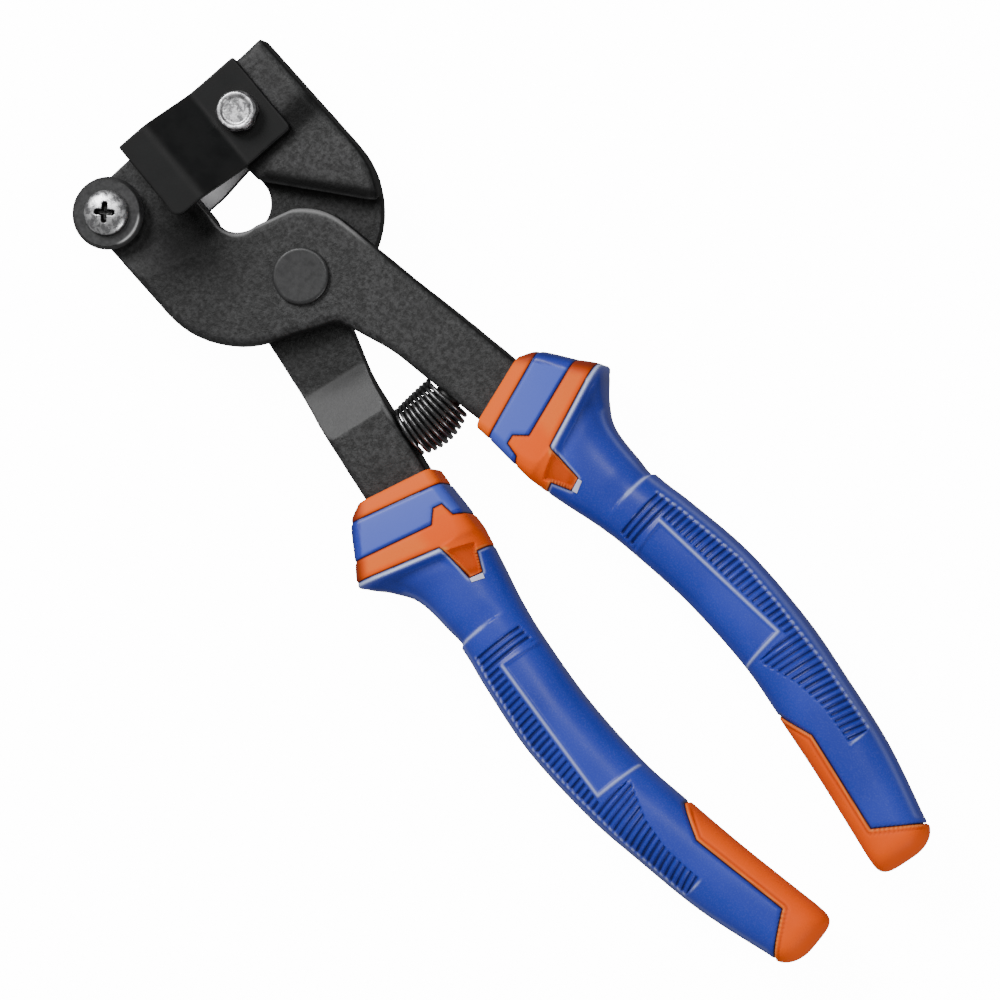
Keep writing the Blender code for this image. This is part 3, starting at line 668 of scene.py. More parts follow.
def add_piece(name, mesh, body, finish, node, place=None, angle=60):
    """A finished piece that rides on a body and stands for its CAD node."""
    mesh.name = name
    if place:
        mesh.transform(place)
    mesh.shade_smooth()
    mesh.set_sharp_from_angle(angle=math.radians(angle))
    mesh.materials.clear()
    mesh.materials.append(materials[finish])
    piece = bpy.data.objects.new(name, mesh)
    bpy.context.scene.collection.objects.link(piece)
    if body:
        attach(piece, body)
    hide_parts(node)
    return piece


def rumpled(mesh, amount, size):
    """Small uneven swells over a surface, as on a forging."""
    points = points_of(mesh)
    lift = np.array([noise.noise(Vector(p) / (size * MM)) for p in points])
    set_points(mesh, points + normals_of(mesh) * (lift * amount * MM)[:, None])
    return mesh


def neighbour_mean(mesh, values, rounds):
    """Values at points, evened out along the mesh's edges."""
    pairs = np.empty(len(mesh.edges) * 2, np.int32)
    mesh.edges.foreach_get("vertices", pairs)
    a, b = pairs.reshape(-1, 2).T
    links = np.bincount(a, minlength=len(values)) + np.bincount(b, minlength=len(values))
    for _ in range(rounds):
        total = np.bincount(a, values[b], len(values)) + np.bincount(b, values[a], len(values))
        values = 0.5 * values + 0.5 * total / np.maximum(links, 1)
    return values


EDGE_FADE = 0.30


def edge_worn(mesh, voxel, rounds):
    """A closed mesh with its edges worn round, and fields of how sharp each was."""
    sharp = softened(mesh, voxel, 0)
    worn = softened(mesh, voxel, rounds)
    lost = ((points_of(sharp) - points_of(worn)) / MM * normals_of(worn)).sum(axis=1)
    lost = neighbour_mean(worn, lost, 3)
    write_field(worn, "edge", lost / (EDGE_FADE * voxel))
    write_field(worn, "crease", -lost / (EDGE_FADE * voxel))
    return worn


def normals_of(mesh):
    normals = np.empty(len(mesh.vertices) * 3, np.float32)
    mesh.vertex_normals.foreach_get("vector", normals)
    return normals.reshape(-1, 3).astype(float)


# ---- forged halves

ARM_VOXEL = 0.27
ARM_ROUNDS = 10
# The step of the recess, a soft fold in the forging.
STEP_LINE = ((-18.6, -7.4), (-1.6, -20.7))
STEP_ROUNDS = 90
STEP_SPREAD = 2.4
# The shallow hollow beside the lap's bank, and the shade round it.
HOLLOW = (-20.0, -11.5)
HOLLOW_REACH = 5.0
HOLLOW_DEPTH = 0.15
SHADE_REACH = 8.5
# How far the surface swells, and over what distance.
FORGING_SWELL = (0.05, 2.6)


def build_arm(node, name, half, body, front):
    """A forged half with worn edges, a soft step and a hollow."""
    form = welded(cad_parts[node].data)
    mesh = edge_worn(form, ARM_VOXEL, ARM_ROUNDS)
    turn, shift = np.array(half)[:3, :3], np.array(half)[:3, 3]
    worn = (points_of(mesh) - shift) @ turn
    soft = (points_of(softened(form, ARM_VOXEL, STEP_ROUNDS)) - shift) @ turn
    from_step = line_distance(worn[:, :2] / MM, STEP_LINE)
    in_recess = 1 - smooth(worn[:, 2] / MM, 1.5, 3.0)
    blend = (ridge(from_step, STEP_SPREAD) * in_recess)[:, None]
    points = worn * (1 - blend) + soft * blend
    x, y, z = points.T / MM
    from_hollow = np.hypot(x - HOLLOW[0], y - HOLLOW[1])
    fold = ridge(from_step - 0.2, 1.4) * in_recess
    paint_arm(mesh, (x, y, z), normals_of(mesh) @ turn, turn, fold, from_hollow, front)
    points[:, 2] -= HOLLOW_DEPTH * MM * ridge(from_hollow, HOLLOW_REACH) * smooth(z, 2.5, 3.5)
    set_points(mesh, points @ turn.T + shift)
    rumpled(mesh, *FORGING_SWELL)
    add_piece(name, mesh, body, "forged_steel", node)


def paint_arm(mesh, place, facing, turn, fold, from_hollow, front):
    """Fields for painted shade, painted light on the ramp's face, and painted highlights on edges."""
    x, y, z = place
    world = facing @ turn.T
    near = 1 - smooth(np.hypot(x, y), 19.0, 25.0)
    under_lap = smooth(-z, -1.2, 0.6) * (1 - smooth(-z, 2.0, 3.6)) * near
    walls = 1 - smooth(np.abs(world[:, 2]), 0.35, 0.75)
    away_from_light = smooth(world @ np.array(RIGHT), 0.0, 0.4) * walls
    tilted = smooth(world[:, 2], 0.20, 0.50)
    if front:
        # Painted shade, darkest round the hollow, and a painted highlight on the lap's edge towards the
        # throat.
        jaw = smooth(-x - 0.45 * y, 0.5, 14.0) * smooth(facing[:, 2], 0.2, 0.6)
        own_shade = 0.92 * jaw * (0.25 + 0.75 * ridge(from_hollow, SHADE_REACH))
        to_throat = world @ np.array((-0.6, 0.8, 0.0))
        lit = 0.92 * smooth(to_throat, 0.28, 0.55) * (1 - smooth(x, -1.0, 7.0))
    else:
        # Painted shade beside the breaker foot, and a painted highlight on the ramp's upper edge.
        own_shade = ridge(np.clip(x + 22.4, 0, None), 2.0 + 2.4 * smooth(y, -12.0, -5.0))
        own_shade *= 0.85 * smooth(x, -29.0, -24.0) * smooth(-facing[:, 2], 0.2, 0.6)
        on_ramp = smooth(x, 18.5, 21.0) * (1 - smooth(x, 30.0, 33.0))
        lit = 0.595 * smooth(world[:, 1], 0.30, 0.55) * on_ramp
    # The ramp's face is painted lighter: painted light falling on it.
    ramp = smooth(-facing[:, 0], 0.15, 0.30) * smooth(-facing[:, 2], 0.5, 0.7) * smooth(x, 15.0, 18.0)
    shade = np.max((0.60 * under_lap, fold, own_shade, 0.85 * away_from_light), axis=0)
    write_field(mesh, "shade", shade)
    write_field(mesh, "ramp", ramp)
    write_field(mesh, "lit", tilted * lit)


RIVET_SIDE = (
    (0, -0.06), (1.5, -0.06), (3.4, -0.04), (4.7, 0), (5.02, 0), (5.22, -0.08), (5.37, -0.24),
    (5.4, -0.42),
)
LAP_HALF = 5.2


def build_rivet():
    """The pivot's rivet, both heads nearly flat."""
    top = MIDDLE / MM
    side = [(radius, top + drop) for radius, drop in RIVET_SIDE]
    side += [(5.4, LAP_HALF + 0.15), (5.3, LAP_HALF), (4.0, LAP_HALF)]
    mesh = turned("rivet", side + [(r, -z) for r, z in reversed(side)], 160)
    add_piece("rivet", mesh, UPPER, "rivet_steel", "pivot_rivet", FRONT_HALF, angle=30)


# ---- breaker foot and wheel

SHEET = 1.6
WING_INNER = 4.3
WING_OUTER = 11.2
WING_HALF_WIDTH = 8.85
REAR_WING_TRIM = 1.3
WING_END, WING_TIP = 5.7, -21.3
WING_BENDS = (-5.3, -15.0)
WING_HOLE = 2.8
WING_REACH = 12
FOLD_RADIUS = 0.9
CORNER_RADII = (0.9, 0.4, 0.4, 1.6)
CORNER_STEPS = 8
# How far the surface swells, and over what distance.
SHEET_SWELL = (0.02, 4.0)
BOLT_FLATS = 7.4
BOLT_HEAD = 3.2
BOLT_RADIUS = 2.5
BOLT_NUT = 4.0
BOLT_END = 5.0
SLEEVE_RADII = (2.8, 3.6)
SLEEVE_HALF = 4.0
BUSH_RADII = (2.3, 3.2)
SPACER_RADII = (2.3, 4.6)
SCREW_RADIUS = 2.0
SCREW_HEAD = 4.27
SCREW_DOME = (0.55, 1.55)
SCREW_HEIGHT = 2.1
SCREW_TURN = 44
# The cross slot's arms at their top and foot: length, half width, and height from the top.
SCREW_SLOT = ((2.45, 0.62, 0.4), (1.35, 0.40, -1.5))
WHEEL_NUT_FLATS = 7.0
WHEEL_NUT_TOP, WHEEL_NUT_HEIGHT = -4.3, 3.2
# A hexagon's corners are turned off to a cone, as parts of its width across flats.
HEX_ROUND = 0.532
HEX_TOP = 0.47
HEX_DROP = 1.6
THREAD_CREST = 0.12
THREAD_ROOT = 0.08
# Depth, flank and pitch.
BOLT_THREAD = (0.36, 0.24, 0.8)
SCREW_THREAD = (0.32, 0.20, 0.7)
NUT_ROOM = 0.25
WING_VOXEL, BOLT_VOXEL, SCREW_VOXEL = 0.17, 0.11, 0.09


def heights(node):
    """A node's lowest and highest points, in millimetres from the middle plane."""
    return [(corner.z - MIDDLE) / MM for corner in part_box(node)]


def circle(radius, count):
    return [
        (radius * math.cos(math.tau * i / count), radius * math.sin(math.tau * i / count))
        for i in range(count)
    ]


def build_wing(node, name, side, throat_side):
    """One bent sheet wing, its folds rolled round and its corners rounded."""
    near, far = WING_INNER + SHEET / 2, WING_OUTER
    line = [(WING_END, near), (WING_BENDS[0], near), (WING_BENDS[1], far), (WING_TIP, far)]
    centre_line = [Vector(point) for point in rounded_profile(line, FOLD_RADIUS, 6)]
    last = len(centre_line) - 1
    top, bottom = [], []
    for i, point in enumerate(centre_line):
        along = (centre_line[min(i + 1, last)] - centre_line[max(i - 1, 0)]).normalized()
        across = Vector((-along.y, along.x)) * SHEET / 2
        top.append(point + across)
        bottom.append(point - across)
    loop = top + bottom[::-1]
    bent = tube("bent", [[(x, p.x, side * p.y) for p in loop] for x in (-WING_REACH, WING_REACH)])
    corners = (
        (throat_side, WING_END), (-WING_HALF_WIDTH, WING_END),
        (-WING_HALF_WIDTH, WING_TIP), (throat_side, WING_TIP),
    )
    plan = []
    for quarter, ((x, y), radius) in enumerate(zip(corners, CORNER_RADII)):
        middle_x = x - math.copysign(radius, x)
        middle_y = y - math.copysign(radius, y)
        for i in range(CORNER_STEPS + 1):
            a = math.radians(90 * (quarter + i / CORNER_STEPS))
            plan.append((middle_x + radius * math.cos(a), middle_y + radius * math.sin(a)))
    bent = combined(bent, prism("plan", plan, -ABOVE, ABOVE), "INTERSECT", "EXACT")
    hole = prism("hole", circle(WING_HOLE, 48), -ABOVE, ABOVE)
    mesh = edge_worn(combined(bent, hole, "DIFFERENCE", "EXACT"), WING_VOXEL, 4)
    rumpled(mesh, *SHEET_SWELL)
    # The punched sheet's inner faces are painted light grey: painted reflected light.
    write_field(mesh, "lit_metal", smooth(-side * normals_of(mesh)[:, 2], 0.55, 0.85))
    add_piece(name, mesh, FOOT, "blackened_sheet", node, FOOT_FRAME)


def hex_form(across, low, high, chamfer_low, dish=0.0):
    """A hexagon whose corners are turned off at the top, and perhaps at the foot."""
    wide = across * HEX_ROUND
    narrow = across * HEX_TOP
    drop = (wide - narrow) * HEX_DROP
    profile = [(0, high - dish)]
    if dish:
        profile += [(narrow - 1.0, high - dish), (narrow - 0.5, high)]
    profile += [(narrow, high), (wide, high - drop)]
    profile += [(wide, low + drop), (narrow, low)] if chamfer_low else [(wide, low - 1)]
    profile += [(0, profile[-1][1])]
    body = prism("hex", circle(across / math.sqrt(3), 6), low, high)
    return combined(body, turned("cone", profile, 96), "INTERSECT", "EXACT")


def add_nut(name, node, body, place, across, low, high, bore, voxel):
    hole = turned("hole", [(0, ABOVE), (bore, ABOVE), (bore, -ABOVE), (0, -ABOVE)], 48)
    nut = combined(hex_form(across, low, high, True), hole, "DIFFERENCE", "EXACT")
    add_piece(name, softened(nut, voxel, 3), body, "zinc_plate", node, place)


def add_ring(name, node, body, finish, place, radii, low, high, rounding):
    """A plain ring with rounded edges."""
    bore, radius = radii
    corners = [(bore, low + 0.1), (bore, high), (radius, high), (radius, low), (bore, low)]
    mesh = turned(name, rounded_profile(corners, rounding, 3)[:-1], 96)
    add_piece(name, mesh, body, finish, node, place, angle=30)


def thread(radius, depth, flank, pitch, start, end):
    """The profile of a thread, from start down to just above end."""
    line = []
    z = start
    while z - pitch > end + 0.4:
        root = z - THREAD_CREST - flank
        line += [(radius, z), (radius, z - THREAD_CREST), (radius - depth, root)]
        line += [(radius - depth, root - THREAD_ROOT), (radius, root - THREAD_ROOT - flank)]
        z -= pitch
    return line


def build_bolt():
    """The foot's hexagon bolt and its nut."""
    seat = WING_INNER + SHEET + 0.3
    end = -seat - BOLT_END
    line = [(0, seat + 1), (BOLT_RADIUS, seat + 1)]
    line += thread(BOLT_RADIUS, *BOLT_THREAD, seat - 0.2, end)
    line += [(BOLT_RADIUS, end + 0.4), (BOLT_RADIUS - 0.4, end), (0, end)]
    head = hex_form(BOLT_FLATS, seat, seat + BOLT_HEAD, False, 0.30)
    mesh = combined(head, turned("shank", line, 48), "UNION", "EXACT")
    mesh = softened(mesh, BOLT_VOXEL, 3)
    add_piece("hex_bolt", mesh, FOOT, "zinc_plate", "foot_bolt", FOOT_FRAME)
    bore = BOLT_RADIUS + NUT_ROOM
    add_nut("lock_nut", "foot_nut", FOOT, FOOT_FRAME, BOLT_FLATS, -seat - BOLT_NUT, -seat, bore, 0.13)


def build_wheel():
    """The scoring disc on its bush, with a spacer behind it."""
    low, high = heights("scoring_wheel")
    middle = (low + high) / 2
    bore, edge = 3.5, 6.95
    line = [(bore, low + 0.1), (bore, high - 0.15), (bore + 0.15, high)]
    line += [(radius, high) for radius in (5.70, 5.85, 6.00, 6.15, 6.28)]
    line += [(6.40, high - 0.08), (6.50, high - 0.28), (6.60, high - 0.60)]
    line += [(edge - 0.05, middle + 0.14), (edge, middle), (edge - 0.05, middle - 0.14)]
    line += [(6.3, low + 0.06), (6.20, low), (bore + 0.1, low)]
    mesh = turned("scoring_disc", line, 192)
    # A painted highlight on the edge, on the side that faces the fill light.
    flat = points_of(mesh)[:, :2] / MM
    across = np.hypot(*flat.T)
    towards_fill_light = flat @ np.array(RIGHT * 0.80 - UP * 0.60)[:2] / np.maximum(across, TINY)
    write_field(mesh, "lit", ridge(across - 6.25, 0.22) * smooth(towards_fill_light, 0.78, 0.96))
    add_piece("scoring_disc", mesh, WHEEL, "wheel_steel", "scoring_wheel", WHEEL_FRAME, angle=25)
    add_ring("wheel_sleeve", "wheel_bush", LOWER, "bush_brass", WHEEL_FRAME, BUSH_RADII, low, high, 0.12)
    add_ring(
        "wheel_washer", "wheel_spacer", LOWER, "zinc_plate", WHEEL_FRAME, SPACER_RADII,
        *heights("wheel_spacer"), 0.12,
    )
    build_wheel_screw(high + 0.3)


def build_wheel_screw(seat):
    """A pan head screw with a tapered cross recess, and the nut behind the jaw."""
    top = seat + SCREW_HEIGHT
    end = WHEEL_NUT_TOP - WHEEL_NUT_HEIGHT - 1.0
    base, rise = SCREW_DOME
    line = [
        (SCREW_HEAD * math.sin(a), seat + base + rise * math.cos(a)) for a in np.linspace(0, 1.45, 14)
    ]
    line += [(SCREW_HEAD + 0.03, seat + 0.35), (SCREW_HEAD, seat + 0.08), (4.15, seat)]
    line += [(SCREW_RADIUS, seat), *thread(SCREW_RADIUS, *SCREW_THREAD, seat - 0.3, end)]
    line += [(SCREW_RADIUS, end + 0.3), (SCREW_RADIUS - 0.3, end), (0, end)]
    screw = turned("screw", line, 96)
    for turn in (SCREW_TURN, SCREW_TURN + 90):
        arm = []
        for reach, wide, height in SCREW_SLOT:
            nose = reach - wide * 0.6
            corners = [(nose, -wide), (reach, -wide / 2), (reach, wide / 2), (nose, wide)]
            corners += [(-x, -y) for x, y in corners]
            arm.append([(x, y, top + height) for x, y in corners])
        slot = tube("slot", arm)
        slot.transform(Matrix.Rotation(math.radians(turn), 4, "Z"))
        screw = combined(screw, slot, "DIFFERENCE", "EXACT")
    pit = turned("pit", [(0, top + 0.4), (0.85, top + 0.4), (0.6, top - 1.3), (0, top - 1.7)], 48)
    mesh = softened(combined(screw, pit, "DIFFERENCE", "EXACT"), SCREW_VOXEL, 2)
    points = points_of(mesh) / MM
    across = np.hypot(points[:, 0], points[:, 1])
    dome = seat + base + rise * np.sqrt(np.clip(1 - (across / SCREW_HEAD) ** 2, 0, 1))
    # The cross recess is painted dark: painted shade.
    sunk = smooth(dome - points[:, 2], 0.06, 0.22) * (across < 2.6) * (points[:, 2] > seat)
    write_field(mesh, "dark", sunk)
    add_piece("pan_screw", mesh, LOWER, "zinc_plate", "wheel_screw", WHEEL_FRAME)
    add_nut(
        "wheel_lock_nut", "wheel_nut", LOWER, WHEEL_FRAME, WHEEL_NUT_FLATS,
        WHEEL_NUT_TOP - WHEEL_NUT_HEIGHT, WHEEL_NUT_TOP, SCREW_RADIUS + NUT_ROOM, 0.12,
    )


# ---- spring

SPRING_TURNS = 9.5
SPRING_WIRE = 0.44
SPRING_SWEEP = 8.2
# The coil's middle lies on an arc about the pivot, and swells between its ends.
SPRING_ARC, SPRING_BULGE = 35.4, 0.4
COIL_RADIUS, COIL_BARREL = 4.6, 0.8
COIL_TILT = 0.5
STEPS_PER_TURN = 40
WIRE_SIDES = 12
PEG_PLACE = (35.2, 5.58, 0.5)
PEG_ANGLE = 9.5
PEG_PROFILE = (
    (0, 2.2), (1.6, 2.2), (2.2, 2.08), (2.55, 1.8), (2.7, 1.4), (2.7, -3.4), (2.5, -3.7), (0, -3.7),
)


def build_spring():
    """The bent compression spring, whose turns follow both tangs."""
    count = int(SPRING_TURNS * STEPS_PER_TURN)
    u = np.linspace(-1, 1, count + 1)
    around = math.tau * SPRING_TURNS * (u + 1) / 2
    sweep = math.radians(SPRING_SWEEP) * u
    coil = COIL_RADIUS + COIL_BARREL * (1 - u * u)
    radius = SPRING_ARC + SPRING_BULGE * (1 - u * u) + coil * np.cos(around)
    height = COIL_TILT * u + coil * np.sin(around)
    line = np.stack([radius * np.cos(sweep), radius * np.sin(sweep), height], axis=1)
    along = np.gradient(line, axis=0)
    along /= np.linalg.norm(along, axis=1, keepdims=True)
    axis = np.stack([-np.sin(sweep), np.cos(sweep), np.zeros_like(u)], axis=1)
    first = np.cross(along, axis)
    first /= np.linalg.norm(first, axis=1, keepdims=True)
    second = np.cross(along, first)
    angles = np.linspace(0, math.tau, WIRE_SIDES, endpoint=False)

    def ring(i, closing=0.0, step=0):
        """The wire's section at a point, closed in and moved on to round an end."""
        out = np.outer(np.cos(angles), first[i]) + np.outer(np.sin(angles), second[i])
        on = step * along[i] * math.sin(closing)
        return line[i] + SPRING_WIRE * (on + math.cos(closing) * out)

    ends = (0.5, 1.0, 1.4)
    rings = [ring(0, closing, -1) for closing in reversed(ends)]
    rings += [ring(i) for i in range(count + 1)]
    rings += [ring(count, closing, 1) for closing in ends]
    mesh = tube("coil", rings)
    piece = add_piece("coil_spring", mesh, None, "spring_steel", "return_spring", FRONT_HALF, angle=80)
    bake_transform(piece)


def build_peg(node, name, half, body):
    """A peg on a tang, inside the spring's end."""
    mesh = turned(name, PEG_PROFILE, 96)
    # The peg is painted black all over.
    write_field(mesh, "dark", np.ones(len(mesh.vertices)))
    place = half @ Matrix.Translation(Vector(PEG_PLACE) * MM)
    place = place @ Matrix.Rotation(math.radians(PEG_ANGLE), 4, "Z")
    place = place @ Matrix.Rotation(math.radians(-90), 4, "X")
    add_piece(name, mesh, body, "rivet_steel", node, place, angle=30)


# ---- materials

# Near black: oxide in the forging's creases, painted shade in recesses, and the pegs' black.
OXIDE_AND_SHADE = (0.004, 0.004, 0.004)


class Shader:
    """A node material on a Principled shader, in the piece's own coordinates."""

    def __init__(self, name):
        self.material = bpy.data.materials.new(name)
        self.material.use_nodes = True
        self.tree = self.material.node_tree
        self.shader = self.tree.nodes["Principled BSDF"]
        self.place = self.node("TexCoord").outputs["Object"]

    def node(self, kind, **values):
        """A new node, with values on its sockets."""
        node = self.tree.nodes.new("ShaderNode" + kind)
        for name, value in values.items():
            self.link(value, node.inputs[name.replace("_", " ")])
        return node

    def link(self, source, target):
        if isinstance(source, bpy.types.NodeSocket):
            self.tree.links.new(source, target)
        else:
            target.default_value = source

    def noise(self, per_mm, detail=3.0, roughness=0.55, distortion=0.0, stretch=None):
        place = self.place
        if stretch:
            place = self.node("Mapping", Scale=stretch, Vector=place).outputs["Vector"]
        return self.node(
            "TexNoise", Vector=place, Scale=per_mm / MM, Detail=detail, Roughness=roughness,
            Distortion=distortion,
        ).outputs["Fac"]

    def cells(self, per_mm, randomness=1.0):
        node = self.node("TexVoronoi", Vector=self.place, Scale=per_mm / MM, Randomness=randomness)
        return node.outputs["Distance"]

    def field(self, name, scale=None):
        """A point attribute of the mesh, or some part of it."""
        node = self.node("Attribute")
        node.attribute_name = name
        fac = node.outputs["Fac"]
        return self.maths("MULTIPLY", fac, scale) if scale else fac

    def span(self, value, low, high, start=0.0, end=1.0):
        """A value taken smoothly from low to high, to start to end."""
        node = self.node(
            "MapRange", Value=value, From_Min=low, From_Max=high, To_Min=start, To_Max=end,
        )
        node.interpolation_type = "SMOOTHSTEP"
        return node.outputs["Result"]

    def maths(self, operation, a, b):
        node = self.node("Math")
        node.operation = operation
        self.link(a, node.inputs[0])
        self.link(b, node.inputs[1])
        return node.outputs[0]

    def mix(self, factor, a, b):
        node = self.node("Mix")
        node.data_type = "RGBA"
        for value, name in ((factor, "Factor"), (a, "A"), (b, "B")):
            self.link((*value, 1.0) if isinstance(value, tuple) else value, node.inputs[name])
        return node.outputs["Result"]

    def bump(self, height, strength, depth_mm, onto=None):
        node = self.node("Bump", Strength=strength, Distance=depth_mm * MM, Height=height)
        if onto:
            self.link(onto, node.inputs["Normal"])
        return node.outputs["Normal"]

    def finish(self, colour, roughness, normal=None, **values):
        values.update({"Base_Color": colour, "Roughness": roughness})
        if normal:
            values["Normal"] = normal
        for key, value in values.items():
            self.link(value, self.shader.inputs[key.replace("_", " ")])
        return self.material


def forged_steel(name, dark, light, metallic):
    """Black oxide over a blasted forging: sandy grain, painted shade, painted light on the ramp, and
    edges lighter from wear and a painted highlight.
    """
    s = Shader(name)
    fine = s.noise(2.6, 3.0, 0.7)
    mottle = s.noise(1.15, 3.0, 0.72)
    coarse = s.noise(0.16, 3.0, 0.6)
    tone = s.mix(s.span(mottle, 0.36, 0.66), dark, light)
    tone = s.mix(s.span(fine, 0.60, 0.78, 0.0, 0.45), tone, (0.075, 0.075, 0.076))
    tone = s.mix(s.span(coarse, 0.38, 0.68, 0.0, 0.40), tone, dark)
    # Painted light on the ramp's face.
    tone = s.mix(s.field("ramp", 0.80), tone, (0.085, 0.085, 0.086))
    tone = s.mix(s.field("shade"), tone, (0.003, 0.003, 0.0031))
    # Edges lighter from wear and a painted highlight.
    wear_and_highlight = s.maths("MULTIPLY", s.field("edge"), s.span(coarse, 0.34, 0.60, 0.40, 1.0))
    tone = s.mix(s.maths("MULTIPLY", wear_and_highlight, 0.30), tone, (0.09, 0.09, 0.092))
    tone = s.mix(s.field("lit", 0.90), tone, (0.26, 0.26, 0.262))
    tone = s.mix(s.field("crease", 0.8), tone, OXIDE_AND_SHADE)
    rough = s.span(wear_and_highlight, 0.0, 1.0, 0.58, 0.42)
    normal = s.bump(mottle, 0.70, 0.18)
    normal = s.bump(fine, 0.75, 0.11, normal)
    gloss = s.span(s.field("shade"), 0.0, 1.0, 0.45, 0.10)
    return s.finish(tone, rough, normal, Metallic=metallic, Specular_IOR_Level=gloss)


def plated(name, base, dark, rough_low, rough_high):
    """Zinc plate: a crystalline mottle, with painted shade in the recesses."""
    s = Shader(name)
    blotch = s.noise(0.95, 4.0, 0.62, 0.3)
    tone = s.mix(s.span(blotch, 0.42, 0.58), dark, base)
    tone = s.mix(s.span(s.cells(1.2), 0.0, 0.5, 0.0, 0.2), tone, base)
    # Painted shade in the recesses, from the dark field.
    tone = s.mix(s.field("dark"), tone, OXIDE_AND_SHADE)
    normal = s.bump(blotch, 0.50, 0.12)
    normal = s.bump(s.noise(5.0, 2.0), 0.25, 0.03, normal)
    # Metallic outside the painted shade.
    lit_metal = s.maths("SUBTRACT", 1.0, s.field("dark"))
    return s.finish(tone, s.span(blotch, 0.3, 0.7, rough_low, rough_high), normal, Metallic=lit_metal)


def turned_steel(name, dark, light, metallic):
    """Steel turned or ground, with faint rings and scratches, painted black in places and with a painted
    highlight in places.
    """
    s = Shader(name)
    fine = s.noise(1.6, 3.0, 0.6)
    streaks = s.noise(0.8, 4.0, 0.6, 0.0, (1.0, 1.0, 6.0))
    tone = s.mix(s.span(fine, 0.35, 0.65), dark, light)
    tone = s.mix(s.field("dark"), tone, OXIDE_AND_SHADE)
    # A painted highlight where the lit field is set.
    tone = s.mix(s.field("lit"), tone, (0.42, 0.42, 0.42))
    normal = s.bump(streaks, 0.25, 0.03)
    normal = s.bump(fine, 0.22, 0.04, normal)
    return s.finish(tone, s.span(streaks, 0.3, 0.7, 0.34, 0.50), normal, Metallic=metallic)


def blackened_sheet():
    """Sheet steel with a smooth black coat, its inner faces painted light grey as painted reflected
    light.
    """
    s = Shader("blackened_sheet")
    cloud = s.noise(0.18, 3.0, 0.55)
    fine = s.noise(3.5, 3.0, 0.6)
    tone = s.mix(s.span(cloud, 0.35, 0.65), (0.0022, 0.0022, 0.0024), (0.0042, 0.0042, 0.0044))
    tone = s.mix(s.span(fine, 0.50, 0.78, 0.0, 0.20), tone, (0.010, 0.010, 0.0105))
    # Edges lighter from wear and a painted highlight.
    wear_and_highlight = s.maths("MULTIPLY", s.field("edge"), s.span(cloud, 0.40, 0.62))
    tone = s.mix(s.maths("MULTIPLY", wear_and_highlight, 0.45), tone, (0.05, 0.05, 0.05))
    # The inner faces painted light grey: painted reflected light.
    tone = s.mix(s.field("lit_metal"), tone, (0.55, 0.55, 0.56))
    rough = s.span(cloud, 0.3, 0.7, 0.46, 0.58)
    return s.finish(tone, rough, s.bump(fine, 0.25, 0.04), Specular_IOR_Level=0.22)


def spring_steel():
    """Dark, glossy spring wire."""
    s = Shader("spring_steel")
    fine = s.noise(3.0, 3.0, 0.6)
    tone = s.mix(s.span(fine, 0.35, 0.7), (0.10, 0.10, 0.102), (0.16, 0.16, 0.162))
    rough = s.span(fine, 0.3, 0.7, 0.22, 0.32)
    return s.finish(tone, rough, s.bump(fine, 0.2, 0.03), Metallic=0.95)


def moulding(name, base, deep, pale, seam, facet, roughs, gloss):
    """Moulded plastic: faint flow clouds, a fine spark-eroded texture, painted highlights
    on edges, a flat panel painted lighter, and painted shade in seams and hollows."""
    s = Shader(name)
    cloud = s.noise(0.06, 2.0, 0.5, 0.3)
    fine = s.noise(4.0, 2.0, 0.5)
    tone = s.mix(s.span(cloud, 0.35, 0.65), deep, base)
    tone = s.mix(s.span(fine, 0.45, 0.75, 0.0, 0.04), tone, pale)
    # The flat panel painted lighter: painted light on the flat face.
    tone = s.mix(s.field("facet"), tone, facet)
    # Painted highlights on edges and beads, from the pale field.
    worn = s.maths("MULTIPLY", s.field("pale"), s.span(fine, 0.30, 0.55, 0.80, 1.0))
    tone = s.mix(worn, tone, pale)
    # Painted shade in the seams, grooves and hollows, from the dark field.
    tone = s.mix(s.field("dark"), tone, seam)
    normal = s.bump(s.cells(2.8, 0.9), 0.06, 0.03)
    normal = s.bump(fine, 0.08, 0.04, normal)
    return s.finish(tone, s.span(cloud, 0.3, 0.7, *roughs), normal, Specular_IOR_Level=gloss)


def pale_moulding():
    """The small insert's milky plastic."""
    s = Shader("pale_moulding")
    cloud = s.noise(0.8, 2.0, 0.5)
    tone = s.mix(s.span(cloud, 0.3, 0.7), (0.55, 0.56, 0.80), (0.66, 0.67, 0.86))
    return s.finish(tone, s.span(cloud, 0.3, 0.7, 0.32, 0.42), s.bump(s.noise(4.0), 0.1, 0.03))


def bush_brass():
    """Turned brass."""
    s = Shader("bush_brass")
    fine = s.noise(2.5, 3.0, 0.6)
    tone = s.mix(s.span(fine, 0.35, 0.65), (0.50, 0.34, 0.11), (0.66, 0.47, 0.18))
    return s.finish(tone, s.span(fine, 0.3, 0.7, 0.28, 0.42), s.bump(fine, 0.25, 0.03), Metallic=1.0)


